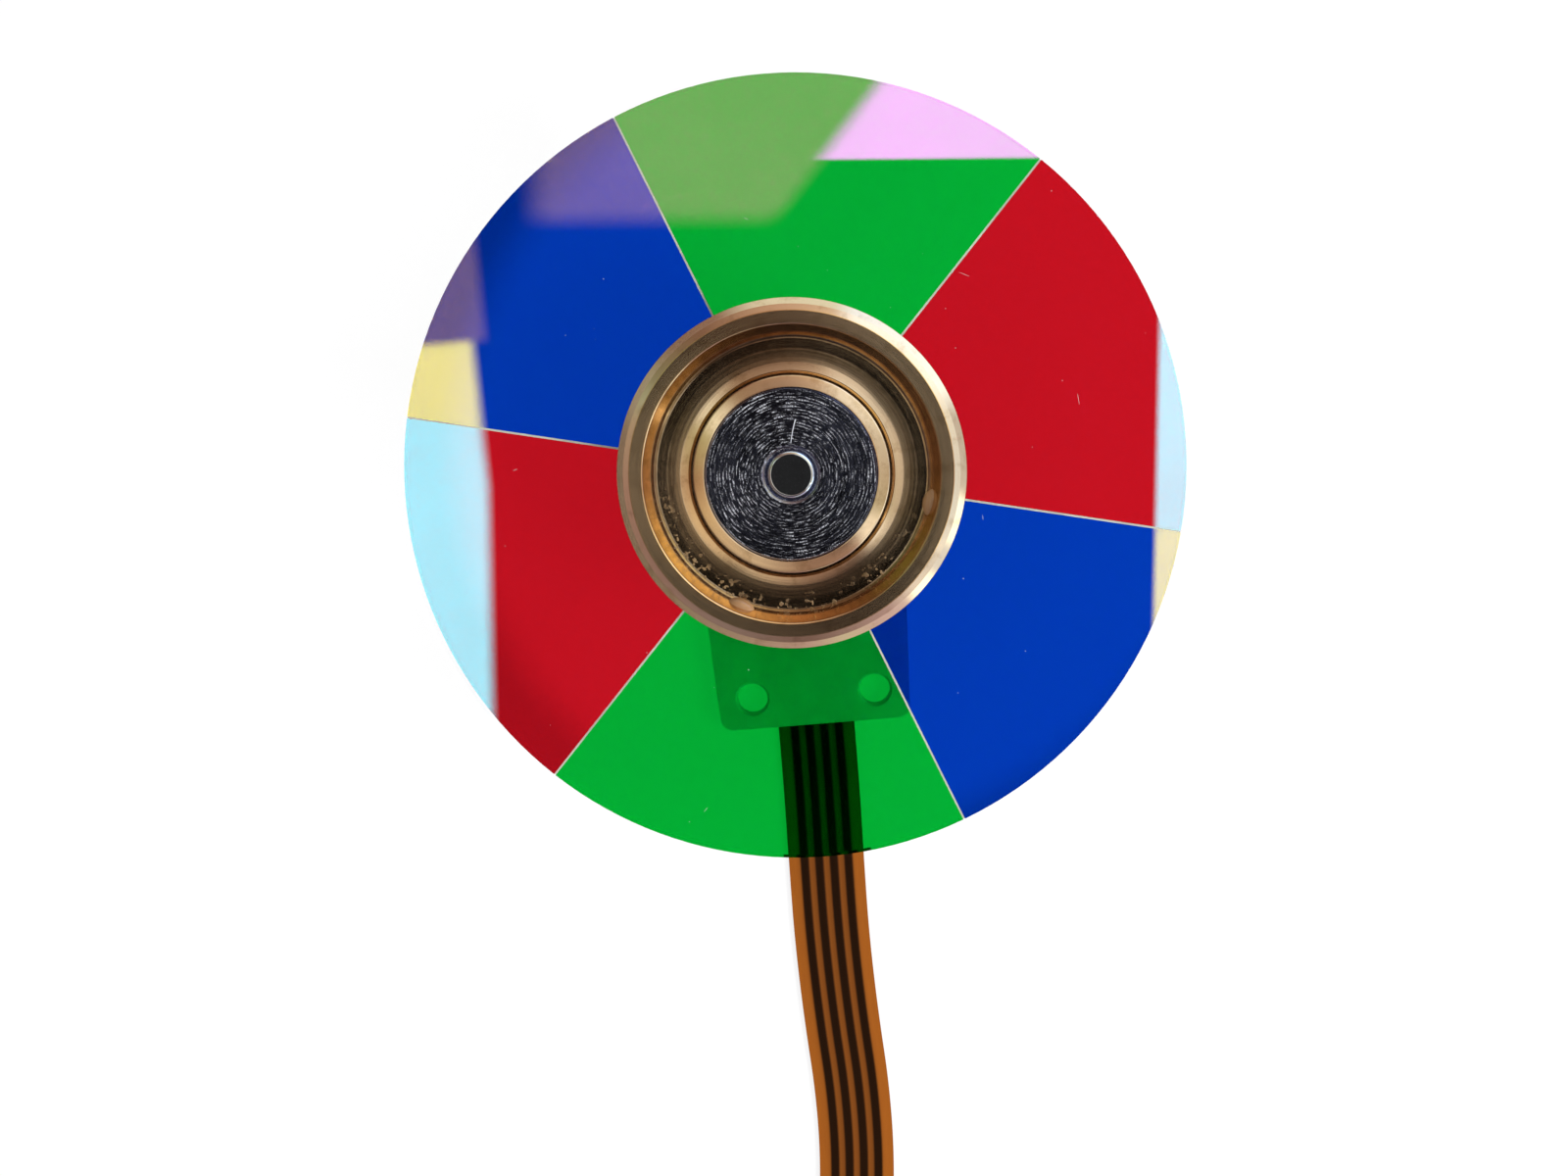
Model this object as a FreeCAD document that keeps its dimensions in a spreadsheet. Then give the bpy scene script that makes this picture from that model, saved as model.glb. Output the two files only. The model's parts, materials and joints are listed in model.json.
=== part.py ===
"""Projector color wheel: six glass filters on a small outrunner motor with a turned balance ring.

Millimetres. The origin is on the spin axis, in the plane of the mounting face, and +Z points
from the base plate to the glass. The base plate's tab and the flat cable point to -Y.
"""
import FreeCAD, Part
import Sketcher
import math
import os
from FreeCAD import Placement, Rotation, Vector

doc = FreeCAD.newDocument("ColorWheel")
sheet = doc.addObject("Spreadsheet::Sheet", "Sizes")
levels = doc.addObject("App::VarSet", "Levels")

UP = Vector(0, 0, 1)

# Driving sizes: name, value, what it is
driving_sizes = [
    ("wheel_radius", 25.0, "outer radius of the ring of filters"),
    ("filter_bore_radius", 8.0, "inner radius of the filters, under the balance ring"),
    ("filter_thick", 1.0, "thickness of the glass"),
    ("joint_width", 0.12, "width of the glued joint between two filters"),
    ("green_sweep", 65.0, "angle of each green filter"),
    ("red_sweep", 60.0, "angle of each red filter"),
    ("first_joint_angle", 46.7, "angle of the joint where the first green filter starts"),
    ("glue_film", 0.05, "adhesive film under and over the glass"),
    ("plate_thick", 1.0, "thickness of the base plate"),
    ("plate_radius", 11.0, "radius of the round part of the base plate"),
    ("tab_reach", 17.4, "distance from the axis to the end of the tab"),
    ("tab_end_half", 6.55, "half width of the tab at its end"),
    ("tab_root_half", 7.15, "half width of the tab where it passes the bearing housing"),
    ("tab_corner", 0.9, "rounding of the tab's two corners"),
    ("tab_neck", 1.2, "rounding where the tab leaves the round part"),
    ("screw_spacing", 8.5, "distance between the two screw holes"),
    ("screw_hole_radius", 1.05, "radius of a screw hole"),
    ("screw_inset", 2.1, "distance from the tab's end to the row of screw holes"),
    ("hole_break", 0.15, "broken edge at the top of each screw hole"),
    ("window_start", 7.1, "distance from the axis to the near edge of the solder window"),
    ("window_length", 2.1, "length of the solder window"),
    ("ribbon_width", 5.3, "width of the flat cable"),
    ("ribbon_thick", 0.15, "thickness of the flat cable"),
    ("ribbon_play", 0.1, "side play of the cable in its channel"),
    ("ribbon_glue", 0.05, "glue between the cable and the channel's ceiling"),
    ("conductor_pitch", 1.03, "pitch of the four conductors"),
    ("stiffener_thick", 0.15, "thickness of the stiffener under the cable's contact end"),
    ("stiffener_length", 5.0, "length of the stiffener"),
    ("finger_width", 0.62, "width of a contact finger"),
    ("finger_length", 4.4, "length of a contact finger"),
    ("finger_thick", 0.035, "thickness of a contact finger"),
    ("shaft_radius", 1.5, "radius of the shaft"),
    ("shaft_proud", 0.2, "how far the shaft stands out of the hub"),
    ("shaft_round", 0.25, "rounding of the shaft's upper end"),
    ("shaft_tail", 0.1, "shaft below its retaining clip"),
    ("clip_thick", 0.25, "thickness of the retaining clip"),
    ("clip_groove", 0.3, "depth of the shaft's groove for the clip"),
    ("clip_radius", 1.92, "outer radius of the retaining clip"),
    ("clip_mouth", 1.7, "width of the clip's open mouth"),
    ("race_outer_radius", 3.0, "outer radius of each ball bearing"),
    ("race_width", 2.0, "width of each ball bearing"),
    ("race_inner_land", 2.0, "outer radius of a bearing's inner race"),
    ("race_outer_land", 2.5, "inner radius of a bearing's outer race"),
    ("ball_radius", 0.4, "radius of a bearing ball"),
    ("ball_play", 0.03, "clearance between a ball and its races"),
    ("ball_count", 7, "balls in each bearing"),
    ("cage_inner_radius", 2.08, "inner radius of a ball cage"),
    ("cage_outer_radius", 2.42, "outer radius of a ball cage"),
    ("cage_pocket_play", 0.05, "clearance of a ball in its pocket"),
    ("cage_rim", 0.3, "height of the cage's closed rim under the pockets"),
    ("shield_thick", 0.1, "thickness of a bearing shield"),
    ("shield_inset", 0.05, "how far a shield lies inside the end of its race"),
    ("shield_play", 0.07, "clearance between a shield and the inner race"),
    ("housing_radius", 3.8, "outer radius of the bearing housing"),
    ("housing_collar_radius", 4.6, "radius of the housing's collar on the base plate"),
    ("housing_land_radius", 2.65, "bore of the rib between the two bearings"),
    ("lower_bearing_level", 0.6, "underside of the lower bearing"),
    ("housing_rib", 2.05, "length of the rib between the bearings"),
    ("washer_height", 0.3, "height of the preload washer as fitted"),
    ("washer_thick", 0.12, "thickness of the preload washer"),
    ("washer_play", 0.05, "side clearance of the preload washer"),
    ("housing_lip", 0.05, "housing above the upper bearing"),
    ("cap_thick", 0.15, "thickness of the cap that closes the housing"),
    ("stator_lift", 1.25, "stator core above the base plate"),
    ("core_height", 1.8, "height of the stator core"),
    ("core_yoke_radius", 4.9, "outer radius of the core's inner ring"),
    ("core_radius", 8.2, "outer radius of the pole shoes"),
    ("tooth_count", 9, "teeth of the stator"),
    ("tooth_width", 1.3, "width of a tooth's stem"),
    ("shoe_depth", 0.8, "radial depth of a pole shoe"),
    ("shoe_sweep", 33.0, "angle of a pole shoe"),
    ("bobbin_wall", 0.12, "wall of the insulating bobbin round a tooth"),
    ("bobbin_start", 5.05, "distance from the axis to a bobbin's inner flange"),
    ("bobbin_length", 2.1, "length of a bobbin along its tooth"),
    ("bobbin_flange", 0.15, "thickness of a bobbin's flanges"),
    ("winding_build", 0.55, "thickness of the winding on a bobbin"),
    ("winding_round", 0.4, "rounding of a winding's corners"),
    ("lead_radius", 0.09, "radius of a coil's lead-out wire"),
    ("lead_level", 0.22, "height of the lead wires' centres above the base plate"),
    ("solder_radius", 0.36, "radius of a solder joint"),
    ("rotor_gap", 0.5, "gap between the base plate and the rotor's skirt"),
    ("air_gap", 0.3, "gap between the pole shoes and the magnet"),
    ("magnet_wall", 1.1, "radial thickness of the magnet ring"),
    ("magnet_height", 3.0, "height of the magnet ring"),
    ("magnet_inset", 0.2, "magnet ring above the skirt's edge"),
    ("yoke_wall", 0.6, "thickness of the steel rotor cup"),
    ("yoke_height", 4.4, "outer height of the rotor cup"),
    ("yoke_round", 0.5, "outer rounding of the rotor cup"),
    ("mark_sweep", 24.0, "angle of the black timing mark on the rotor cup"),
    ("mark_thick", 0.05, "thickness of the timing mark"),
    ("mark_margin", 0.5, "rotor cup left bare above and below the timing mark"),
    ("hub_neck_radius", 4.9, "radius of the hub's neck in the rotor cup"),
    ("hub_recess_play", 0.3, "gap between the hub's recess and the bearing housing"),
    ("hub_head_room", 0.3, "gap between the housing's top and the recess's ceiling"),
    ("hub_flange_thick", 0.8, "thickness of the flange that carries the glass"),
    ("hub_pilot_play", 0.05, "gap between the hub's pilot and the filters"),
    ("hub_nose_radius", 5.4, "radius of the hub's nose"),
    ("hub_nose_proud", 0.15, "hub's nose above the balance ring's collar"),
    ("countersink_steep", 0.16, "width of the steep part of the countersink round the shaft"),
    ("countersink_flat", 0.18, "width of the shallow part of that countersink"),
    ("countersink_depth", 0.3, "depth of that countersink"),
    ("hub_edge", 0.08, "broken edge of the hub's nose"),
    ("ring_radius", 11.0, "outer radius of the brass balance ring"),
    ("ring_height", 2.25, "height of the balance ring"),
    ("ring_bore_play", 0.03, "clearance of the ring's bore on the hub's nose"),
    ("ring_foot_chamfer", 0.15, "chamfer at the ring's foot"),
    ("ring_bevel_low", 0.5, "width of the outer bevel's lower facet"),
    ("bevel_low_drop", 0.41, "height of that lower facet"),
    ("ring_bevel_high", 0.34, "width of the outer bevel's upper facet"),
    ("bevel_high_drop", 0.18, "height of that upper facet"),
    ("ring_rim_width", 0.73, "width of the flat rim"),
    ("ring_rim_edge", 0.06, "broken inner edge of the rim"),
    ("ring_wall_lean", 0.5, "how far the groove's outer wall leans in"),
    ("groove_depth", 1.55, "depth of the groove that takes the balancing glue"),
    ("groove_round", 0.35, "rounding of the groove's outer corner"),
    ("groove_sweep", 0.9, "rounding where the groove's floor runs up into the sloping band"),
    ("ring_ramp_width", 0.5, "width of the sloping band inside the groove"),
    ("ring_ramp_rise", 0.62, "rise of the sloping band"),
    ("relief_width", 0.28, "width of the narrow relief beside the collar"),
    ("relief_depth", 0.25, "depth of that relief below the band"),
    ("collar_width", 0.66, "width of the ring's inner collar"),
    ("collar_height", 1.8, "height of the ring's inner collar"),
    ("collar_edge", 0.07, "broken edges of the collar"),
    ("collar_crown", 0.045, "crown of the collar's top between its broken edges"),
    ("drop_radial", 0.55, "half depth of a drop of balancing glue"),
    ("drop_along", 0.9, "half length of a drop of balancing glue"),
    ("drop_height", 0.5, "half height of a drop of balancing glue"),
    ("drop_inset", 0.35, "middle of a drop inside the top of the groove's outer wall"),
    ("drop_lift", 0.3, "middle of a drop above the groove's floor"),
    ("first_drop_angle", -16.2, "where the first drop of balancing glue sits"),
    ("second_drop_angle", -115.9, "where the second drop of balancing glue sits"),
]

for row, (name, value, note) in enumerate(driving_sizes, start=1):
    sheet.set(f"A{row}", name)
    sheet.set(f"B{row}", str(value))
    sheet.set(f"C{row}", note)
    sheet.setAlias(f"B{row}", name)
doc.recompute()


def level(name, formula):
    """Keep a worked-out height, radius or angle, bound to the sheet, under a name of its own."""
    levels.addProperty("App::PropertyFloat", name, "Worked out")
    levels.setExpression(name, formula)


# Heights, from the mounting face upwards
level("plate_top", "Sizes.plate_thick")
level("cable_low", "Sizes.stiffener_thick")
level("cable_top", "Sizes.stiffener_thick + Sizes.ribbon_thick")
level("channel_depth", "Sizes.stiffener_thick + Sizes.ribbon_thick + Sizes.ribbon_glue")
level("stator_low", "Sizes.plate_thick + Sizes.stator_lift")
level("stator_mid", "Sizes.plate_thick + Sizes.stator_lift + Sizes.core_height / 2")
level("skirt_low", "Sizes.plate_thick + Sizes.rotor_gap")
level("yoke_top", "Sizes.plate_thick + Sizes.rotor_gap + Sizes.yoke_height")
level("yoke_under", "Sizes.plate_thick + Sizes.rotor_gap + Sizes.yoke_height - Sizes.yoke_wall")
level("magnet_low", "Sizes.plate_thick + Sizes.rotor_gap + Sizes.magnet_inset")
level("lower_bearing_top", "Sizes.lower_bearing_level + Sizes.race_width")
level("rib_top", "Sizes.lower_bearing_level + Sizes.race_width + Sizes.housing_rib")
level("upper_bearing_level", "Levels.rib_top + Sizes.washer_height")
level("upper_bearing_top", "Levels.upper_bearing_level + Sizes.race_width")
level("housing_top", "Levels.upper_bearing_top + Sizes.housing_lip")
level("recess_top", "Levels.housing_top + Sizes.hub_head_room")
level("flange_top", "Levels.yoke_top + Sizes.hub_flange_thick")
level("glass_low", "Levels.flange_top + Sizes.glue_film")
level("glass_top", "Levels.glass_low + Sizes.filter_thick")
level("ring_low", "Levels.glass_top + Sizes.glue_film")
level("ring_top", "Levels.ring_low + Sizes.ring_height")
level("collar_top", "Levels.ring_low + Sizes.collar_height")
level("nose_top", "Levels.collar_top + Sizes.hub_nose_proud")
level("shaft_top", "Levels.nose_top + Sizes.shaft_proud")
level("clip_low", "Sizes.lower_bearing_level - Sizes.clip_thick")
level("shaft_low", "Levels.clip_low - Sizes.shaft_tail")
level("groove_floor", "Levels.ring_top - Sizes.groove_depth")
level("ramp_top", "Levels.groove_floor + Sizes.ring_ramp_rise")

# Radii, from the axis outwards
level("ball_orbit", "(Sizes.race_inner_land + Sizes.race_outer_land) / 2")
level("groove_radius", "Sizes.ball_radius + Sizes.ball_play")
level("recess_radius", "Sizes.housing_radius + Sizes.hub_recess_play")
level("boss_radius", "Sizes.race_inner_land")
level("magnet_inner", "Sizes.core_radius + Sizes.air_gap")
level("magnet_outer", "Levels.magnet_inner + Sizes.magnet_wall")
level("yoke_outer", "Levels.magnet_outer + Sizes.yoke_wall")
level("shoe_inner", "Sizes.core_radius - Sizes.shoe_depth")
level("pilot_radius", "Sizes.filter_bore_radius - Sizes.hub_pilot_play")
level("ring_bore", "Sizes.hub_nose_radius + Sizes.ring_bore_play")
level("bevel_crease", "Sizes.ring_radius - Sizes.ring_bevel_low")
level("rim_outer", "Levels.bevel_crease - Sizes.ring_bevel_high")
level("rim_inner", "Levels.rim_outer - Sizes.ring_rim_width")
level("wall_top_radius", "Levels.rim_inner - Sizes.ring_rim_edge")
level("wall_foot_radius", "Levels.wall_top_radius - Sizes.ring_wall_lean")
level("collar_outer", "Levels.ring_bore + Sizes.collar_width")
level("ramp_inner", "Levels.collar_outer + Sizes.relief_width")
level("floor_inner", "Levels.ramp_inner + Sizes.ring_ramp_width")
level("drop_orbit", "Levels.wall_top_radius - Sizes.drop_inset")

# Place along the tab, and angles of the filters: the colors repeat after half a turn
level("screw_row", "Sizes.tab_reach - Sizes.screw_inset")
level("blue_sweep", "180 - Sizes.green_sweep - Sizes.red_sweep")
doc.recompute()


def cell(name):
    """The number that the sheet holds under this name."""
    return float(sheet.get(name))


def new_body(label):
    body = doc.addObject("PartDesign::Body", label)
    body.Label = label
    return body


def new_sketch(body, role, name):
    """An empty sketch on one of the body's own origin planes."""
    sketch = body.newObject("Sketcher::SketchObject", name)
    plane = [item for item in body.Origin.OriginFeatures if item.Role == role][0]
    sketch.AttachmentSupport = [(plane, "")]
    sketch.MapMode = "FlatFace"
    return sketch


def origin_axis(body, role):
    return [item for item in body.Origin.OriginFeatures if item.Role == role][0]


def draw_outline(sketch, corners):
    """A closed outline of straight lines. Each corner is a pair of formulas that place it."""
    count = len(corners)
    first = sketch.GeometryCount
    rough = [Vector(2 + math.cos(2 * math.pi * i / count), 2 + math.sin(2 * math.pi * i / count), 0)
             for i in range(count)]
    for i in range(count):
        sketch.addGeometry(Part.LineSegment(rough[i], rough[(i + 1) % count]), False)
    for i in range(count):
        sketch.addConstraint(Sketcher.Constraint("Coincident", first + i, 2, first + (i + 1) % count, 1))
    for i, (across, along) in enumerate(corners):
        for kind, formula, start in (("DistanceX", across, rough[i].x), ("DistanceY", along, rough[i].y)):
            index = sketch.addConstraint(Sketcher.Constraint(kind, -1, 1, first + i, 1, start))
            sketch.setExpression(f"Constraints[{index}]", formula)


def draw_circle(sketch, radius, across="0", along="0"):
    """A circle whose radius and centre are formulas."""
    index = sketch.addGeometry(Part.Circle(Vector(0.1, 0.1, 0), UP, 1.0), False)
    size = sketch.addConstraint(Sketcher.Constraint("Radius", index, 1.0))
    sketch.setExpression(f"Constraints[{size}]", radius)
    if across == "0" and along == "0":
        sketch.addConstraint(Sketcher.Constraint("Coincident", index, 3, -1, 1))
        return
    for kind, formula in (("DistanceX", across), ("DistanceY", along)):
        place = sketch.addConstraint(Sketcher.Constraint(kind, -1, 1, index, 3, 0.1))
        sketch.setExpression(f"Constraints[{place}]", formula)


def turn(body, name, corners, sweep="360", middle=False, kind="Revolution"):
    """Turn an outline of (radius, height) formulas about the spin axis."""
    sketch = new_sketch(body, "XZ_Plane", name + "_outline")
    draw_outline(sketch, corners)
    feature = body.newObject("PartDesign::" + kind, name)
    feature.Profile = sketch
    feature.ReferenceAxis = (origin_axis(body, "Z_Axis"), [""])
    feature.Midplane = middle
    feature.setExpression("Angle", sweep)
    return feature


def ring_corners(inner, outer, low, high):
    return [(inner, low), (outer, low), (outer, high), (inner, high)]


def pad(body, name, sketch, height, lift="0"):
    """Pad a sketch upwards by a formula, starting at another formula's height."""
    sketch.setExpression("AttachmentOffset.Base.z", lift)
    feature = body.newObject("PartDesign::Pad", name)
    feature.Profile = sketch
    feature.setExpression("Length", height)
    return feature


def pocket(body, name, sketch, depth, lift="0"):
    """Cut a sketch downwards by a formula's depth from another formula's height."""
    sketch.setExpression("AttachmentOffset.Base.z", lift)
    feature = body.newObject("PartDesign::Pocket", name)
    feature.Profile = sketch
    feature.setExpression("Length", depth)
    return feature


def edges_where(feature, test):
    """Names of the feature's edges that pass a test."""
    doc.recompute()
    return [f"Edge{i}" for i, edge in enumerate(feature.Shape.Edges, start=1) if test(edge)]


def round_edges(body, name, feature, test, radius):
    fillet = body.newObject("PartDesign::Fillet", name)
    fillet.Base = (feature, edges_where(feature, test))
    fillet.setExpression("Radius", radius)
    return fillet


def break_edges(body, name, feature, test, size):
    chamfer = body.newObject("PartDesign::Chamfer", name)
    chamfer.Base = (feature, edges_where(feature, test))
    chamfer.setExpression("Size", size)
    return chamfer


def circle_at(radius, height):
    """A test for whole round edges of this radius about the spin axis, at this height."""
    def test(edge):
        curve = edge.Curve
        return (isinstance(curve, Part.Circle) and abs(curve.Radius - radius) < 1e-4
                and abs(curve.Center.z - height) < 1e-4)
    return test


def group(label, shapes):
    """Several like solids in one node."""
    item = doc.addObject("Part::Feature", label)
    item.Label = label
    item.Shape = Part.makeCompound(shapes)
    return item


# Base plate: a stamped disc with a tab for two screws and a channel for the flat cable
def make_base_plate():
    body = new_body("base_plate")
    disc = new_sketch(body, "XY_Plane", "plate_disc")
    draw_circle(disc, "Sizes.plate_radius")
    pad(body, "plate_pad", disc, "Sizes.plate_thick")
    tab = new_sketch(body, "XY_Plane", "plate_tab")
    draw_outline(tab, [
        ("-Sizes.tab_end_half", "-Sizes.tab_reach"),
        ("Sizes.tab_end_half", "-Sizes.tab_reach"),
        ("Sizes.tab_root_half", "-Sizes.housing_radius"),
        ("-Sizes.tab_root_half", "-Sizes.housing_radius"),
    ])
    tab_pad = pad(body, "tab_pad", tab, "Sizes.plate_thick")
    end = cell("tab_reach")

    def at_corner(edge):
        low, high = edge.Vertexes[0].Point, edge.Vertexes[-1].Point
        return abs(low.y + end) < 1e-4 and abs(high.y + end) < 1e-4 and abs(low.z - high.z) > 0.1

    corners = round_edges(body, "tab_corners", tab_pad, at_corner, "Sizes.tab_corner")

    def at_neck(edge):
        low, high = edge.Vertexes[0].Point, edge.Vertexes[-1].Point
        upright = abs(low.x - high.x) < 1e-4 and abs(low.y - high.y) < 1e-4 and abs(low.z - high.z) > 0.1
        on_disc = abs(math.hypot(low.x, low.y) - cell("plate_radius")) < 1e-3
        return upright and on_disc and low.y < -1

    necks = round_edges(body, "tab_necks", corners, at_neck, "Sizes.tab_neck")
    bore = new_sketch(body, "XY_Plane", "plate_bore")
    draw_circle(bore, "Sizes.housing_radius")
    draw_circle(bore, "Sizes.screw_hole_radius", "Sizes.screw_spacing / 2", "-Levels.screw_row")
    draw_circle(bore, "Sizes.screw_hole_radius", "-Sizes.screw_spacing / 2", "-Levels.screw_row")
    drilled = pocket(body, "plate_holes", bore, "Sizes.plate_thick", "Levels.plate_top")

    def at_hole_mouth(edge):
        curve = edge.Curve
        return (isinstance(curve, Part.Circle) and abs(curve.Radius - cell("screw_hole_radius")) < 1e-4
                and abs(curve.Center.z - levels.plate_top) < 1e-4)

    break_edges(body, "hole_mouths", drilled, at_hole_mouth, "Sizes.hole_break")
    channel = new_sketch(body, "XY_Plane", "cable_channel_outline")
    half = "Sizes.ribbon_width / 2 + Sizes.ribbon_play"
    draw_outline(channel, [
        (f"-({half})", "-Sizes.tab_reach - 1"), (half, "-Sizes.tab_reach - 1"),
        (half, "-Sizes.window_start"), (f"-({half})", "-Sizes.window_start"),
    ])
    pocket(body, "cable_channel", channel, "Levels.channel_depth", "Levels.channel_depth")
    window = new_sketch(body, "XY_Plane", "solder_window_outline")
    far = "-Sizes.window_start - Sizes.window_length"
    draw_outline(window, [
        (f"-({half})", far), (half, far),
        (half, "-Sizes.window_start"), (f"-({half})", "-Sizes.window_start"),
    ])
    pocket(body, "solder_window", window, "Sizes.plate_thick", "Levels.plate_top")


# Bearing housing: a turned tube, staked in the plate, with a rib between the two bearings
def make_bearing_housing():
    body = new_body("bearing_housing")
    bore = "Sizes.race_outer_radius"
    land = "Sizes.housing_land_radius"
    turn(body, "housing_turning", [
        (bore, "0"), ("Sizes.housing_radius", "0"), ("Sizes.housing_radius", "Levels.plate_top"),
        ("Sizes.housing_collar_radius", "Levels.plate_top"),
        ("Sizes.housing_collar_radius", "Levels.stator_low"),
        ("Sizes.housing_radius", "Levels.stator_low"), ("Sizes.housing_radius", "Levels.housing_top"),
        (bore, "Levels.housing_top"), (bore, "Levels.rib_top"), (land, "Levels.rib_top"),
        (land, "Levels.lower_bearing_top"), (bore, "Levels.lower_bearing_top"),
    ])


def make_housing_cap():
    body = new_body("housing_cap")
    disc = new_sketch(body, "XY_Plane", "cap_disc")
    draw_circle(disc, "Sizes.race_outer_radius")
    pad(body, "cap_pad", disc, "Sizes.cap_thick")


# Preload washer: a coned spring washer that pushes the upper bearing's outer race upwards
def make_preload_washer():
    body = new_body("preload_washer")
    inner = "Sizes.housing_land_radius + Sizes.washer_play"
    outer = "Sizes.race_outer_radius - Sizes.washer_play"
    turn(body, "washer_turning", [
        (inner, "Levels.upper_bearing_level - Sizes.washer_thick"), (outer, "Levels.rib_top"),
        (outer, "Levels.rib_top + Sizes.washer_thick"), (inner, "Levels.upper_bearing_level"),
    ])


# Ball bearings: each has two races, a set of balls, a cage and two shields
def make_bearing(place, low):
    middle = f"{low} + Sizes.race_width / 2"
    top = f"{low} + Sizes.race_width"
    outer = new_body(place + "_bearing_outer_race")
    turn(outer, place + "_outer_ring",
         ring_corners("Sizes.race_outer_land", "Sizes.race_outer_radius", low, top))
    cut_ball_groove(outer, place + "_outer_groove", middle)
    inner = new_body(place + "_bearing_inner_race")
    turn(inner, place + "_inner_ring",
         ring_corners("Sizes.shaft_radius", "Sizes.race_inner_land", low, top))
    cut_ball_groove(inner, place + "_inner_groove", middle)
    make_cage(place, middle)
    make_balls(place, middle)
    make_shields(place, low, top)


def cut_ball_groove(body, name, middle):
    sketch = new_sketch(body, "XZ_Plane", name + "_outline")
    draw_circle(sketch, "Levels.groove_radius", "Levels.ball_orbit", middle)
    groove = body.newObject("PartDesign::Groove", name)
    groove.Profile = sketch
    groove.ReferenceAxis = (origin_axis(body, "Z_Axis"), [""])
    groove.Angle = 360
    return groove


def make_cage(place, middle):
    """A crown cage: a closed rim with a round pocket for each ball."""
    pocket_radius = "Sizes.ball_radius + Sizes.cage_pocket_play"
    rim = doc.addObject("Part::Cylinder", place + "_cage_outside")
    rim.setExpression("Radius", "Sizes.cage_outer_radius")
    bore = doc.addObject("Part::Cylinder", place + "_cage_bore")
    bore.setExpression("Radius", "Sizes.cage_inner_radius")
    height = f"{pocket_radius} + Sizes.cage_rim + Sizes.ball_radius / 4"
    for item in (rim, bore):
        item.setExpression("Height", height)
        item.setExpression("Placement.Base.z", f"{middle} - Sizes.cage_rim - ({pocket_radius})")
    tube = doc.addObject("Part::Cut", place + "_cage_tube")
    tube.Base, tube.Tool = rim, bore
    balls = []
    for i in range(round(cell("ball_count"))):
        ball = doc.addObject("Part::Sphere", f"{place}_pocket_{i}")
        ball.setExpression("Radius", pocket_radius)
        place_on_orbit(ball, "Levels.ball_orbit", f"{i} * 360 / Sizes.ball_count", middle)
        balls.append(ball)
    pockets = doc.addObject("Part::MultiFuse", place + "_pockets")
    pockets.Shapes = balls
    cage = doc.addObject("Part::Cut", place + "_bearing_cage")
    cage.Label = place + "_bearing_cage"
    cage.Base, cage.Tool = tube, pockets


def place_on_orbit(item, radius, angle, height):
    """Put a piece at a radius and angle about the spin axis."""
    item.setExpression("Placement.Base.x", f"({radius}) * cos({angle} * 1deg)")
    item.setExpression("Placement.Base.y", f"({radius}) * sin({angle} * 1deg)")
    item.setExpression("Placement.Base.z", height)


def make_balls(place, middle):
    balls = []
    for i in range(round(cell("ball_count"))):
        ball = doc.addObject("Part::Sphere", f"{place}_ball_{i}")
        ball.setExpression("Radius", "Sizes.ball_radius")
        place_on_orbit(ball, "Levels.ball_orbit", f"{i} * 360 / Sizes.ball_count", middle)
        balls.append(ball)
    balls_group = doc.addObject("Part::Compound", place + "_bearing_balls")
    balls_group.Label = place + "_bearing_balls"
    balls_group.Links = balls


def make_shields(place, low, top):
    shields = []
    for end, level_text in (
            ("low", f"{low} + Sizes.shield_inset"),
            ("high", f"{top} - Sizes.shield_inset - Sizes.shield_thick")):
        disc = doc.addObject("Part::Cylinder", f"{place}_shield_disc_{end}")
        disc.setExpression("Radius", "Sizes.race_outer_land")
        hole = doc.addObject("Part::Cylinder", f"{place}_shield_hole_{end}")
        hole.setExpression("Radius", "Sizes.race_inner_land + Sizes.shield_play")
        for item in (disc, hole):
            item.setExpression("Height", "Sizes.shield_thick")
            item.setExpression("Placement.Base.z", level_text)
        shield = doc.addObject("Part::Cut", f"{place}_shield_{end}")
        shield.Base, shield.Tool = disc, hole
        shields.append(shield)
    pair = doc.addObject("Part::Compound", place + "_bearing_shields")
    pair.Label = place + "_bearing_shields"
    pair.Links = shields


# Stator: a stack of toothed laminations, a bobbin and a winding on every tooth
def make_stator_core():
    body = new_body("stator_core")
    inner_ring = new_sketch(body, "XY_Plane", "core_ring_outline")
    draw_circle(inner_ring, "Sizes.core_yoke_radius")
    draw_circle(inner_ring, "Sizes.housing_radius")
    pad(body, "core_ring", inner_ring, "Sizes.core_height", "Levels.stator_low")
    stem_outline = new_sketch(body, "XY_Plane", "tooth_stem_outline")
    start = "(Sizes.housing_radius + Sizes.core_yoke_radius) / 2"
    end = "Levels.shoe_inner + Sizes.shoe_depth / 2"
    half = "Sizes.tooth_width / 2"
    draw_outline(stem_outline, [
        (f"-{half}", f"-({start})"), (f"-{half}", f"-({end})"), (half, f"-({end})"), (half, f"-({start})"),
    ])
    stem = pad(body, "tooth_stem", stem_outline, "Sizes.core_height", "Levels.stator_low")
    shoe_outline = new_sketch(body, "YZ_Plane", "pole_shoe_outline")
    draw_outline(shoe_outline, ring_corners(
        "-Sizes.core_radius", "-Levels.shoe_inner",
        "Levels.stator_low", "Levels.stator_low + Sizes.core_height"))
    shoe = body.newObject("PartDesign::Revolution", "pole_shoe")
    shoe.Profile = shoe_outline
    shoe.ReferenceAxis = (origin_axis(body, "Z_Axis"), [""])
    shoe.Midplane = True
    shoe.setExpression("Angle", "Sizes.shoe_sweep")
    teeth = body.newObject("PartDesign::PolarPattern", "teeth")
    teeth.Originals = [stem, shoe]
    teeth.Axis = (origin_axis(body, "Z_Axis"), [""])
    teeth.Angle = 360
    teeth.Occurrences = round(cell("tooth_count"))
    body.Tip = teeth


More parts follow.
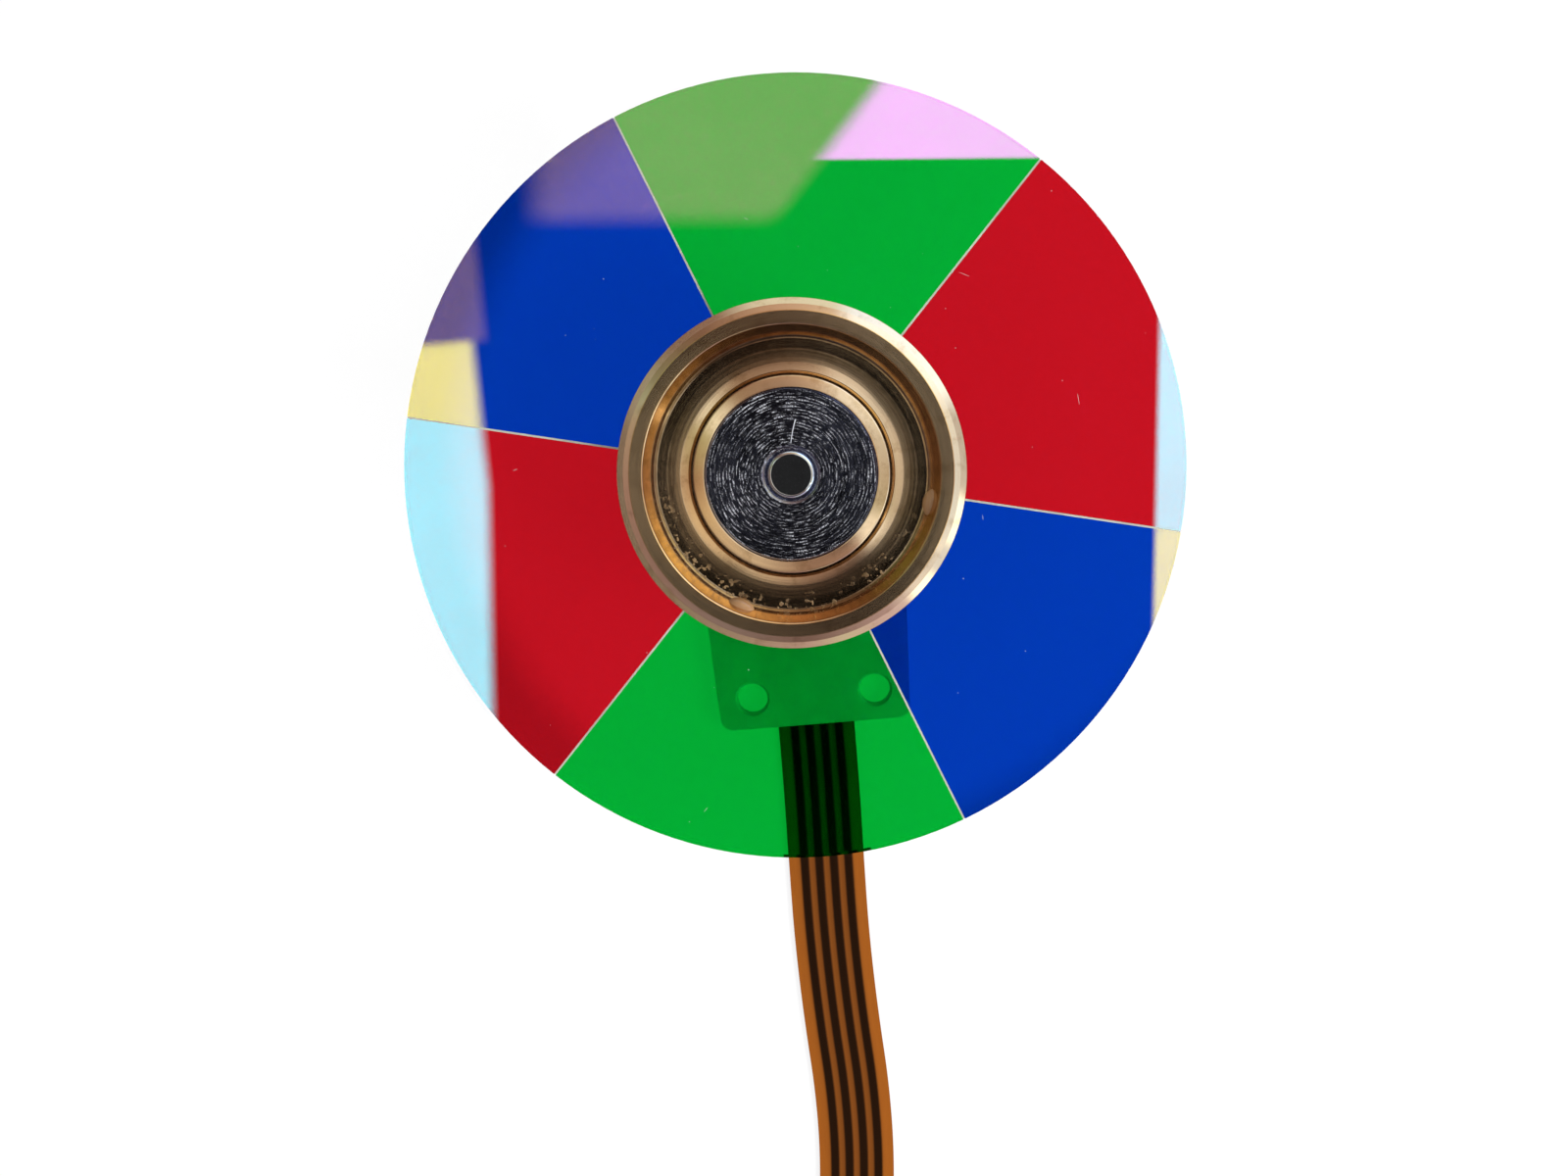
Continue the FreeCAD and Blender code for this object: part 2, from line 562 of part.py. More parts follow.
def centred_box(start, length, width, height, middle):
    """A box along +X whose width and height are centred on the X axis at a height."""
    corner = Vector(start, -width / 2, middle - height / 2)
    return Part.makeBox(length, width, height, corner)


def on_every_tooth(shape):
    count = round(cell("tooth_count"))
    copies = []
    for i in range(count):
        copy = shape.copy()
        copy.rotate(Vector(0, 0, 0), UP, -90 + i * 360 / count)
        copies.append(copy)
    return copies


def make_bobbins():
    start, length, flange = cell("bobbin_start"), cell("bobbin_length"), cell("bobbin_flange")
    stem_width, stem_height = cell("tooth_width"), cell("core_height")
    tube_width = stem_width + 2 * cell("bobbin_wall")
    tube_height = stem_height + 2 * cell("bobbin_wall")
    flange_width = tube_width + 2 * cell("winding_build") + cell("bobbin_wall")
    flange_height = tube_height + 2 * cell("winding_build") + cell("bobbin_wall")
    middle = levels.stator_mid
    tube = centred_box(start, length, tube_width, tube_height, middle)
    inner = centred_box(start, flange, flange_width, flange_height, middle)
    outer = centred_box(start + length - flange, flange, flange_width, flange_height, middle)
    stem = centred_box(start - flange, length + 2 * flange, stem_width, stem_height, middle)
    bobbin = tube.fuse([inner, outer]).removeSplitter().cut(stem)
    group("stator_bobbins", on_every_tooth(bobbin.Solids[0]))


def make_windings():
    flange = cell("bobbin_flange")
    start = cell("bobbin_start") + flange
    length = cell("bobbin_length") - 2 * flange
    hole_width = cell("tooth_width") + 2 * cell("bobbin_wall")
    hole_height = cell("core_height") + 2 * cell("bobbin_wall")
    build = cell("winding_build")
    coil = centred_box(start, length, hole_width + 2 * build, hole_height + 2 * build, levels.stator_mid)
    along = [edge for edge in coil.Edges if abs(edge.tangentAt(edge.FirstParameter).x) > 0.9]
    coil = coil.makeFillet(min(cell("winding_round"), build * 0.9), along)
    core = centred_box(start - flange, length + 2 * flange, hole_width, hole_height, levels.stator_mid)
    group("stator_windings", on_every_tooth(coil.cut(core).Solids[0]))


def rounded_path(points, radius):
    """Straight runs joined by tangent arcs of one radius."""
    edges = []
    start = points[0]
    for before, corner, after in zip(points, points[1:], points[2:]):
        toward = (corner - before).normalize()
        away = (after - corner).normalize()
        half_turn = toward.getAngle(away) / 2
        trim = radius * math.tan(half_turn)
        enter, leave = corner - toward * trim, corner + away * trim
        bisector = (away - toward).normalize()
        middle = corner + bisector * (radius / math.cos(half_turn) - radius)
        edges.append(Part.LineSegment(start, enter).toShape())
        edges.append(Part.Arc(enter, middle, leave).toShape())
        start = leave
    edges.append(Part.LineSegment(start, points[-1]).toShape())
    return Part.Wire(edges)


def conductor_places():
    """Sideways places of the four conductors of the flat cable."""
    pitch = cell("conductor_pitch")
    return [pitch * (i - 1.5) for i in range(4)]


def make_coil_leads():
    """Four wires from the windings' undersides down through the window to the cable's pads."""
    radius = cell("lead_radius")
    under = (levels.stator_mid - cell("core_height") / 2 - cell("bobbin_wall") - cell("winding_build"))
    run = levels.plate_top + cell("lead_level")
    pads = -(cell("window_start") + cell("window_length") / 2)
    reach = cell("bobbin_start") + cell("bobbin_length") / 2
    next_tooth = 360 / round(cell("tooth_count"))
    wires = []
    for x in conductor_places():
        if abs(x) < cell("conductor_pitch"):
            start = Vector(x, -reach, 0)
        else:
            start = Vector(-math.copysign(cell("tooth_width") / 2, x), -reach, 0)
            start = Rotation(UP, math.copysign(next_tooth, x)).multVec(start)
        end = levels.cable_top + cell("solder_radius") / 2
        points = [Vector(start.x, start.y, under), Vector(start.x, start.y, run),
                  Vector(x, pads, run), Vector(x, pads, end)]
        path = rounded_path(points, 1.6 * radius)
        section = Part.Wire(Part.makeCircle(radius, points[0], UP))
        wires.append(path.makePipeShell([section], True, True).Solids[0])
    group("coil_leads", wires)


def make_solder_joints():
    domes = []
    for i in range(4):
        dome = doc.addObject("Part::Sphere", f"solder_dome_{i}")
        dome.setExpression("Radius", "Sizes.solder_radius")
        dome.Angle1 = 0
        dome.setExpression("Placement.Base.x", f"Sizes.conductor_pitch * ({i} - 1.5)")
        dome.setExpression("Placement.Base.y", "-Sizes.window_start - Sizes.window_length / 2")
        dome.setExpression("Placement.Base.z", "Levels.cable_top")
        domes.append(dome)
    joints = doc.addObject("Part::Compound", "solder_joints")
    joints.Label = "solder_joints"
    joints.Links = domes


# Flat cable: a bonded stretch in the plate's channel and a free stretch that lies on the table
def make_bonded_cable():
    strip = doc.addObject("Part::Box", "flex_cable_bonded")
    strip.Label = "flex_cable_bonded"
    strip.setExpression("Width", "Sizes.tab_reach - Sizes.window_start")
    strip.setExpression("Length", "Sizes.ribbon_width")
    strip.setExpression("Height", "Sizes.ribbon_thick")
    strip.setExpression("Placement.Base.x", "-Sizes.ribbon_width / 2")
    strip.setExpression("Placement.Base.y", "-Sizes.tab_reach")
    strip.setExpression("Placement.Base.z", "Levels.cable_low")


# The free cable's route on the table: sideways place, distance from the tab's end
cable_route = [
    (0.0, 0.0), (0.0, 4.6), (-0.12, 9.8), (-0.2, 15.4), (-0.02, 21.2), (0.36, 27.0), (0.24, 32.6),
    (-0.5, 38.6), (-1.5, 44.6), (-2.2, 50.8), (-2.3, 57.0), (-1.8, 63.2), (-1.1, 69.2), (-0.7, 74.6),
]


def cable_points():
    return [Vector(x, -cell("tab_reach") - run, levels.cable_low) for x, run in cable_route]


def smooth_route(points):
    """Straight runs and tangent arcs, each arc as large as its two runs allow."""
    edges = []
    start = points[0]
    radii = []
    for before, corner, after in zip(points, points[1:], points[2:]):
        toward, away = corner - before, after - corner
        shorter = min(toward.Length, away.Length)
        half_turn = toward.getAngle(away) / 2
        toward.normalize()
        away.normalize()
        trim = 0.45 * shorter
        radius = trim / math.tan(half_turn)
        enter, leave = corner - toward * trim, corner + away * trim
        bisector = (away - toward).normalize()
        middle = corner + bisector * (radius / math.cos(half_turn) - radius)
        edges.append(Part.LineSegment(start, enter).toShape())
        edges.append(Part.Arc(enter, middle, leave).toShape())
        start = leave
        radii.append(round(radius, 1))
    edges.append(Part.LineSegment(start, points[-1]).toShape())
    print("flat cable: radii", radii)
    return Part.Wire(edges)


def make_free_cable():
    points = cable_points()
    route = smooth_route(points)
    half, thick = cell("ribbon_width") / 2, cell("ribbon_thick")
    across = (points[1] - points[0]).normalize().cross(UP)
    corners = [points[0] - across * half, points[0] + across * half,
               points[0] + across * half + UP * thick, points[0] - across * half + UP * thick]
    section = Part.makePolygon(corners + corners[:1])
    sweep = Part.BRepOffsetAPI.MakePipeShell(route)
    sweep.setBiNormalMode(UP)
    sweep.add(section)
    sweep.build()
    sweep.makeSolid()
    cable = doc.addObject("Part::Feature", "flex_cable")
    cable.Label = "flex_cable"
    cable.Shape = sweep.shape()
    expected = route.Length * cell("ribbon_width") * thick
    print(f"flat cable: {route.Length:.2f} mm long, volume {cable.Shape.Volume:.3f},"
          f" section times length {expected:.3f}")


def cable_end():
    """Where the free cable ends, and the turn that points a piece along it."""
    points = cable_points()
    along = (points[-1] - points[-2]).normalize()
    return points[-1], Rotation(Vector(0, -1, 0), along)


def make_contact_stiffener():
    end, facing = cable_end()
    strip = doc.addObject("Part::Box", "contact_stiffener")
    strip.Label = "contact_stiffener"
    strip.setExpression("Length", "Sizes.ribbon_width")
    strip.setExpression("Width", "Sizes.stiffener_length")
    strip.setExpression("Height", "Sizes.stiffener_thick")
    corner = Vector(-cell("ribbon_width") / 2, 0, -cell("stiffener_thick"))
    strip.Placement = Placement(end + facing.multVec(corner), facing)


def make_contact_fingers():
    end, facing = cable_end()
    strips = []
    for i, x in enumerate(conductor_places()):
        strip = doc.addObject("Part::Box", f"finger_{i}")
        strip.setExpression("Length", "Sizes.finger_width")
        strip.setExpression("Width", "Sizes.finger_length")
        strip.setExpression("Height", "Sizes.finger_thick")
        corner = Vector(x - cell("finger_width") / 2, 0, cell("ribbon_thick"))
        strip.Placement = Placement(end + facing.multVec(corner), facing)
        strips.append(strip)
    fingers = doc.addObject("Part::Compound", "contact_fingers")
    fingers.Label = "contact_fingers"
    fingers.Links = strips


# Shaft: ground steel, with a groove for the clip below the lower bearing
def make_shaft():
    body = new_body("shaft")
    full = "Sizes.shaft_radius"
    neck = "Sizes.shaft_radius - Sizes.clip_groove"
    turning = turn(body, "shaft_turning", [
        ("0", "Levels.shaft_low"), (full, "Levels.shaft_low"), (full, "Levels.clip_low"),
        (neck, "Levels.clip_low"), (neck, "Sizes.lower_bearing_level"),
        (full, "Sizes.lower_bearing_level"), (full, "Levels.shaft_top"), ("0", "Levels.shaft_top"),
    ])
    round_edges(body, "shaft_end", turning, circle_at(cell("shaft_radius"), levels.shaft_top), "Sizes.shaft_round")


def make_shaft_clip():
    body = new_body("shaft_clip")
    turn(body, "clip_ring", ring_corners("Sizes.shaft_radius - Sizes.clip_groove", "Sizes.clip_radius",
                                         "Levels.clip_low", "Sizes.lower_bearing_level"))
    mouth = new_sketch(body, "XY_Plane", "clip_mouth_outline")
    half = "Sizes.clip_mouth / 2"
    draw_outline(mouth, [
        (f"-{half}", "0.1"), (half, "0.1"),
        (half, "Sizes.clip_radius + 1"), (f"-{half}", "Sizes.clip_radius + 1"),
    ])
    pocket(body, "clip_mouth", mouth, "Sizes.clip_thick", "Sizes.lower_bearing_level")


# Rotor: a drawn steel cup with the magnet ring inside, on a turned hub that carries the glass
def make_rotor_yoke():
    body = new_body("rotor_yoke")
    inner = "Levels.magnet_outer"
    cup = turn(body, "cup_turning", [
        ("Sizes.hub_neck_radius", "Levels.yoke_under"), (inner, "Levels.yoke_under"),
        (inner, "Levels.skirt_low"), ("Levels.yoke_outer", "Levels.skirt_low"),
        ("Levels.yoke_outer", "Levels.yoke_top"), ("Sizes.hub_neck_radius", "Levels.yoke_top"),
    ])
    round_edges(body, "cup_shoulder", cup, circle_at(levels.yoke_outer, levels.yoke_top), "Sizes.yoke_round")


def make_magnet_ring():
    body = new_body("magnet_ring")
    turn(body, "magnet_turning", ring_corners("Levels.magnet_inner", "Levels.magnet_outer",
                                              "Levels.magnet_low", "Levels.magnet_low + Sizes.magnet_height"))


def make_timing_mark():
    body = new_body("timing_mark")
    turn(body, "mark_strip", ring_corners(
        "Levels.yoke_outer", "Levels.yoke_outer + Sizes.mark_thick",
        "Levels.skirt_low + Sizes.mark_margin", "Levels.yoke_top - Sizes.yoke_round - Sizes.mark_margin"),
        "Sizes.mark_sweep", True)


def make_rotor_hub():
    body = new_body("rotor_hub")
    bore, boss = "Sizes.shaft_radius", "Levels.boss_radius"
    nose = "Sizes.hub_nose_radius"
    turn(body, "hub_turning", [
        (bore, "Levels.upper_bearing_top"), (boss, "Levels.upper_bearing_top"), (boss, "Levels.recess_top"),
        ("Levels.recess_radius", "Levels.recess_top"), ("Levels.recess_radius", "Levels.yoke_under"),
        ("Sizes.hub_neck_radius", "Levels.yoke_under"), ("Sizes.hub_neck_radius", "Levels.yoke_top"),
        ("Levels.yoke_outer", "Levels.yoke_top"), ("Levels.yoke_outer", "Levels.flange_top"),
        ("Levels.pilot_radius", "Levels.flange_top"), ("Levels.pilot_radius", "Levels.glass_top"),
        (nose, "Levels.glass_top"), (nose, "Levels.nose_top - Sizes.hub_edge"),
        (f"{nose} - Sizes.hub_edge", "Levels.nose_top"),
        (f"{bore} + Sizes.countersink_steep + Sizes.countersink_flat", "Levels.nose_top"),
        (f"{bore} + Sizes.countersink_steep", "Levels.nose_top - Sizes.countersink_depth / 3"),
        (bore, "Levels.nose_top - Sizes.countersink_depth"),
    ])


# Filters: six glass sectors with straight, parallel-sided joints
def make_filter(label, start, sweep):
    body = new_body(label)
    sketch = new_sketch(body, "XY_Plane", label + "_outline")
    inner, outer, half = 8.0, 25.0, math.radians(30)
    low_inner, low_outer, high_outer, high_inner = [
        Vector(r * math.cos(a), r * math.sin(a), 0)
        for r, a in ((inner, -half), (outer, -half), (outer, half), (inner, half))]
    low_side = sketch.addGeometry(Part.LineSegment(low_inner, low_outer), False)
    high_side = sketch.addGeometry(Part.LineSegment(high_inner, high_outer), False)
    rim = sketch.addGeometry(Part.ArcOfCircle(Part.Circle(Vector(), UP, outer), -half, half), False)
    bore = sketch.addGeometry(Part.ArcOfCircle(Part.Circle(Vector(), UP, inner), -half, half), False)
    for join in ((low_side, 2, rim, 1), (high_side, 2, rim, 2), (low_side, 1, bore, 1), (high_side, 1, bore, 2),
                 (rim, 3, -1, 1), (bore, 3, -1, 1)):
        sketch.addConstraint(Sketcher.Constraint("Coincident", *join))
    # each straight side stands half a joint inside the radial line of its end of the sweep
    for arc, radius, guess in ((rim, "Sizes.wheel_radius", outer), (bore, "Sizes.filter_bore_radius", inner)):
        index = sketch.addConstraint(Sketcher.Constraint("Radius", arc, guess))
        sketch.setExpression(f"Constraints[{index}]", radius)
        lean = f"(({sweep}) / 2 * 1deg - asin(Sizes.joint_width / 2 / {radius}))"
        for end, side in ((1, "-"), (2, "")):
            rise = -guess * math.sin(half) if side else guess * math.sin(half)
            index = sketch.addConstraint(Sketcher.Constraint("DistanceY", -1, 1, arc, end, rise))
            sketch.setExpression(f"Constraints[{index}]", f"{side}{radius} * sin({lean})")
    pad(body, label + "_pad", sketch, "Sizes.filter_thick")
    body.Placement = Placement(Vector(), Rotation(UP, 1))
    body.setExpression("Placement.Base.z", "Levels.glass_low")
    body.setExpression("Placement.Rotation.Angle", f"({start} + ({sweep}) / 2) * 1deg")


def joint_starts():
    """Start angle and sweep of the six filters, in order round the wheel."""
    start = "Sizes.first_joint_angle"
    rows = []
    for half_turn in ("upper", "lower"):
        for color, sweep in (("green", "Sizes.green_sweep"), ("blue", "Levels.blue_sweep"),
                             ("red", "Sizes.red_sweep")):
            rows.append((color + "_filter_" + half_turn, start, sweep))
            start = f"{start} + {sweep}"
    return rows


def make_filters_and_joints():
    strips = []
    for label, start, sweep in joint_starts():
        make_filter(label, start, sweep)
        strip = doc.addObject("Part::Box", label + "_joint")
        strip.setExpression("Length", "Sizes.wheel_radius - Sizes.filter_bore_radius - Sizes.glue_film")
        strip.setExpression("Width", "Sizes.joint_width")
        strip.setExpression("Height", "Sizes.filter_thick")
        strip.Placement = Placement(Vector(), Rotation(UP, 1))
        reach, side = "Sizes.filter_bore_radius", "Sizes.joint_width / 2"
        turned = f"({start}) * 1deg"
        strip.setExpression("Placement.Base.x", f"{reach} * cos({turned}) + {side} * sin({turned})")
        strip.setExpression("Placement.Base.y", f"{reach} * sin({turned}) - {side} * cos({turned})")
        strip.setExpression("Placement.Base.z", "Levels.glass_low")
        strip.setExpression("Placement.Rotation.Angle", turned)
        strips.append(strip)
    glue = doc.addObject("Part::Compound", "filter_joint_glue")
    glue.Label = "filter_joint_glue"
    glue.Links = strips


def make_glue_films():
    under = new_body("filter_adhesive")
    turn(under, "under_glass", ring_corners("Sizes.filter_bore_radius", "Levels.yoke_outer",
                                            "Levels.flange_top", "Levels.glass_low"))
    over = new_body("ring_adhesive")
    turn(over, "over_glass", ring_corners(
        "Sizes.filter_bore_radius", "Sizes.ring_radius - Sizes.ring_foot_chamfer",
        "Levels.glass_top", "Levels.ring_low"))


# Balance ring: turned brass, with an open groove for drops of balancing glue
def make_balance_ring():
    body = new_body("balance_ring")
    crease = "Levels.ring_top - Sizes.bevel_high_drop"
    shoulder = "Levels.collar_top - Sizes.collar_crown"
    ring = turn(body, "ring_turning", [
        ("Levels.ring_bore", "Levels.ring_low"),
        ("Sizes.ring_radius - Sizes.ring_foot_chamfer", "Levels.ring_low"),
        ("Sizes.ring_radius", "Levels.ring_low + Sizes.ring_foot_chamfer"),
        ("Sizes.ring_radius", f"{crease} - Sizes.bevel_low_drop"),
        ("Levels.bevel_crease", crease),
        ("Levels.rim_outer", "Levels.ring_top"),
        ("Levels.rim_inner", "Levels.ring_top"),
        ("Levels.wall_top_radius", "Levels.ring_top - Sizes.ring_rim_edge"),
        ("Levels.wall_foot_radius", "Levels.groove_floor"),
        ("Levels.floor_inner", "Levels.groove_floor"),
        ("Levels.ramp_inner", "Levels.ramp_top"),
        ("Levels.ramp_inner", "Levels.ramp_top - Sizes.relief_depth"),
        ("Levels.collar_outer", "Levels.ramp_top - Sizes.relief_depth"),
        ("Levels.collar_outer", f"{shoulder} - Sizes.collar_edge"),
        ("Levels.collar_outer - Sizes.collar_edge", shoulder),
        ("Levels.ring_bore + Sizes.collar_width / 2", "Levels.collar_top"),
        ("Levels.ring_bore + Sizes.collar_edge", shoulder),
        ("Levels.ring_bore", f"{shoulder} - Sizes.collar_edge"),
    ])
    floor = levels.groove_floor
    outer = round_edges(body, "groove_foot", ring, circle_at(levels.wall_foot_radius, floor), "Sizes.groove_round")
    round_edges(body, "groove_slope", outer, circle_at(levels.floor_inner, floor), "Sizes.groove_sweep")
    return body


def make_glue_drops(ring):
    drops = []
    for order in ("first", "second"):
        drop = doc.addObject("Part::Ellipsoid", order + "_drop_whole")
        drop.setExpression("Radius2", "Sizes.drop_radial")
        drop.setExpression("Radius3", "Sizes.drop_along")
        drop.setExpression("Radius1", "Sizes.drop_height")
        place_on_orbit(drop, "Levels.drop_orbit", f"Sizes.{order}_drop_angle",
                       "Levels.groove_floor + Sizes.drop_lift")
        drop.Placement = Placement(drop.Placement.Base, Rotation(UP, cell(order + "_drop_angle")))
        trimmed = doc.addObject("Part::Cut", order + "_drop")
        trimmed.Base, trimmed.Tool = drop, ring
        drops.append(trimmed)
    pair = doc.addObject("Part::Compound", "balance_glue_drops")
    pair.Label = "balance_glue_drops"
    pair.Links = drops


make_base_plate()
make_bearing_housing()
make_housing_cap()
make_preload_washer()
make_bearing("lower", "Sizes.lower_bearing_level")
make_bearing("upper", "Levels.upper_bearing_level")
make_stator_core()
make_bobbins()
make_windings()
make_coil_leads()
make_solder_joints()
make_bonded_cable()
make_free_cable()
make_contact_stiffener()
make_contact_fingers()
make_shaft()
make_shaft_clip()
make_rotor_yoke()
make_magnet_ring()
make_timing_mark()
make_rotor_hub()
make_filters_and_joints()
make_glue_films()
make_glue_drops(make_balance_ring())
doc.recompute()

bearing_pieces = ("outer_race", "inner_race", "balls", "cage", "shields")
nodes = (
    ["base_plate", "bearing_housing", "housing_cap", "preload_washer"]
    + [f"{place}_bearing_{piece}" for place in ("lower", "upper") for piece in bearing_pieces]
    + ["stator_core", "stator_bobbins", "stator_windings", "coil_leads", "solder_joints"]
    + ["flex_cable_bonded", "flex_cable", "contact_stiffener", "contact_fingers"]
    + ["shaft", "shaft_clip", "rotor_yoke", "magnet_ring", "timing_mark", "rotor_hub"]
    + [label for label, start, sweep in joint_starts()]
    + ["filter_joint_glue", "filter_adhesive", "ring_adhesive", "balance_ring", "balance_glue_drops"]
)

for item in doc.Objects:
    if "Invalid" in item.State or "Error" in item.State:
        raise RuntimeError(f"{item.Label} failed: {item.State}")

os.makedirs("parts", exist_ok=True)
for label in nodes:
    item = doc.getObjectsByLabel(label)[0]
    shape = item.Shape
    if shape.isNull() or not shape.isValid() or not shape.Solids:
        raise RuntimeError(f"{label} has no sound shape")
    shape.exportStep(f"parts/{label}.step")
    print(f"{label}: {len(shape.Solids)} solid(s), {shape.Volume:.3f} mm3")
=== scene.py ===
import bmesh
import bpy
import json
import math
import random
from mathutils import Matrix, Vector


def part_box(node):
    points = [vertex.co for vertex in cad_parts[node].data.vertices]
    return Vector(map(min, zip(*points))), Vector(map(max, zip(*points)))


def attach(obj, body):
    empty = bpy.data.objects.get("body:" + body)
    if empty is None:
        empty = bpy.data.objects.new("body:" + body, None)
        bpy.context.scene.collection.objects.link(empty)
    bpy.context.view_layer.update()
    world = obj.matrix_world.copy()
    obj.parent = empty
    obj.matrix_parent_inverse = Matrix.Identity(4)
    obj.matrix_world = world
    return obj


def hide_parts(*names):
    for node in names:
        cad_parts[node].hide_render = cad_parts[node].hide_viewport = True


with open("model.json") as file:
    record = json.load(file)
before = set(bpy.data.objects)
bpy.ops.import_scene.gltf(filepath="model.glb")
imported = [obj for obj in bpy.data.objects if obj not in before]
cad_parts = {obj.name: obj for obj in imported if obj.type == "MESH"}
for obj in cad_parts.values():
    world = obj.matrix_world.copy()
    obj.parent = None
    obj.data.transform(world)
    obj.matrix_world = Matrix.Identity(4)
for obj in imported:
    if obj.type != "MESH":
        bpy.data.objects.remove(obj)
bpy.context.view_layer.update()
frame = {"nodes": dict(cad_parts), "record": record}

scene = bpy.context.scene
scene.view_settings.view_transform = "Standard"
nodes = frame["nodes"]
print("frame loaded:", len(nodes), "nodes")


# A smooth shaded piece with sharp edges where faces meet at more than the angle
def finishPiece(name, bm, sharpAngle=30):
    bmesh.ops.recalc_face_normals(bm, faces=bm.faces)
    mesh = bpy.data.meshes.new(name)
    bm.to_mesh(mesh)
    bm.free()
    mesh.polygons.foreach_set("use_smooth", [True] * len(mesh.polygons))
    mesh.set_sharp_from_angle(angle=math.radians(sharpAngle))
    piece = bpy.data.objects.new(name, mesh)
    scene.collection.objects.link(piece)
    return piece


# Node helpers. A value is a number, a color of three numbers or another node's output
def feed(tree, value, socket):
    if isinstance(value, bpy.types.NodeSocket):
        tree.links.new(value, socket)
    elif socket.type == "RGBA":
        socket.default_value = (*value, 1)
    else:
        socket.default_value = value


def addNode(tree, kind, inputs=None, **settings):
    made = tree.nodes.new("ShaderNode" + kind)
    for key, value in settings.items():
        setattr(made, key, value)
    for key, value in (inputs or {}).items():
        feed(tree, value, made.inputs[key])
    return made


def calc(tree, operation, *values):
    return addNode(tree, "Math", dict(enumerate(values)), operation=operation).outputs[0]


def add(tree, first, second):
    return calc(tree, "ADD", first, second)


def multiply(tree, first, *others):
    for other in others:
        first = calc(tree, "MULTIPLY", first, other)
    return first


# Smooth change from low to high as value goes from start to end
def step(tree, value, start, end, low=0.0, high=1.0):
    inputs = {"Value": value, "From Min": start, "From Max": end, "To Min": low, "To Max": high}
    return addNode(tree, "MapRange", inputs, interpolation_type="SMOOTHSTEP").outputs[0]


def fade(tree, value, start, end):
    return step(tree, value, start, end, 1.0, 0.0)


# Up from start to full, then down from end to out
def band(tree, value, start, full, end, out):
    return multiply(tree, step(tree, value, start, full), fade(tree, value, end, out))


def blendColors(tree, factor, first, second, mode="MIX"):
    inputs = {0: factor, 6: first, 7: second}
    return addNode(tree, "Mix", inputs, data_type="RGBA", blend_type=mode).outputs[2]


def noise(tree, vector, scale, detail=3.0, roughness=0.5):
    inputs = {"Vector": vector, "Scale": scale, "Detail": detail, "Roughness": roughness}
    return addNode(tree, "TexNoise", inputs).outputs[0]


def bump(tree, height, strength, distance):
    return addNode(tree, "Bump", {"Strength": strength, "Distance": distance, "Height": height}).outputs[0]


def newMaterial(name):
    material = bpy.data.materials.new(name)
    material.use_nodes = True
    material.node_tree.nodes.clear()
    return material, material.node_tree


# A Principled shader; underscores in the names stand for spaces
def principled(tree, **values):
    inputs = {key.replace("_", " "): value for key, value in values.items()}
    return addNode(tree, "BsdfPrincipled", inputs).outputs[0]


def transparent(tree, brightness=1.0):
    return addNode(tree, "BsdfTransparent", {"Color": [brightness] * 3}).outputs[0]


def mixShaders(tree, factor, first, second):
    return addNode(tree, "MixShader", {0: factor, 1: first, 2: second}).outputs[0]


def addShaders(tree, first, second):
    return addNode(tree, "AddShader", {0: first, 1: second}).outputs[0]


def showShader(tree, shader, output="OutputMaterial"):
    addNode(tree, output, {"Surface": shader})


def objectPlace(tree):
    return addNode(tree, "TexCoord").outputs["Object"]


# 0 for a face seen head on, 1 at its edge
def facing(tree):
    return addNode(tree, "LayerWeight", {"Blend": 0.5}).outputs["Facing"]


# 1 for the rays named, 0 for the others
def seenBy(tree, *kinds):
    path = addNode(tree, "LightPath")
    total = path.outputs[kinds[0]]
    for kind in kinds[1:]:
        total = calc(tree, "MAXIMUM", total, path.outputs[kind])
    return total


# Distance from the axis, height and angle, for marks left by a lathe
def turnedPlace(tree):
    split = addNode(tree, "SeparateXYZ", {"Vector": objectPlace(tree)})
    flat = addNode(tree, "CombineXYZ", {"X": split.outputs[0], "Y": split.outputs[1]})
    radius = addNode(tree, "VectorMath", {0: flat.outputs[0]}, operation="LENGTH").outputs["Value"]
    angle = calc(tree, "ARCTAN2", split.outputs[1], split.outputs[0])
    return radius, split.outputs[2], angle


# Noise drawn out round the axis: how fine it is outwards and round, which pattern, detail, roughness
def streaks(tree, outwards, angle, outScale, turnScale, pattern, detail, roughness):
    place = {"X": multiply(tree, outwards, outScale), "Y": multiply(tree, angle, turnScale), "Z": pattern}
    vector = addNode(tree, "CombineXYZ", place).outputs[0]
    return noise(tree, vector, 1.0, detail, roughness)


# Camera: above the wheel, slightly off its axis
cameraSetup = {
    "place": (0.00271, 0.00086, 0.1019),
    "tilt": (-4.91, 2.33, -4.77),
    "pixelsPerRadian": 1500,
    "imageWidth": 1600,
    "sensor": 36.0,
    "nearest": 0.001,
}


def makeCamera(setup):
    camera = bpy.data.objects.new("camera", bpy.data.cameras.new("camera"))
    scene.collection.objects.link(camera)
    camera.location = setup["place"]
    camera.rotation_mode = "ZYX"
    camera.rotation_euler = [math.radians(angle) for angle in setup["tilt"]]
    camera.data.sensor_width = setup["sensor"]
    camera.data.lens = setup["sensor"] * setup["pixelsPerRadian"] / setup["imageWidth"]
    camera.data.clip_start = setup["nearest"]
    scene.camera = camera


makeCamera(cameraSetup)
print("camera placed")


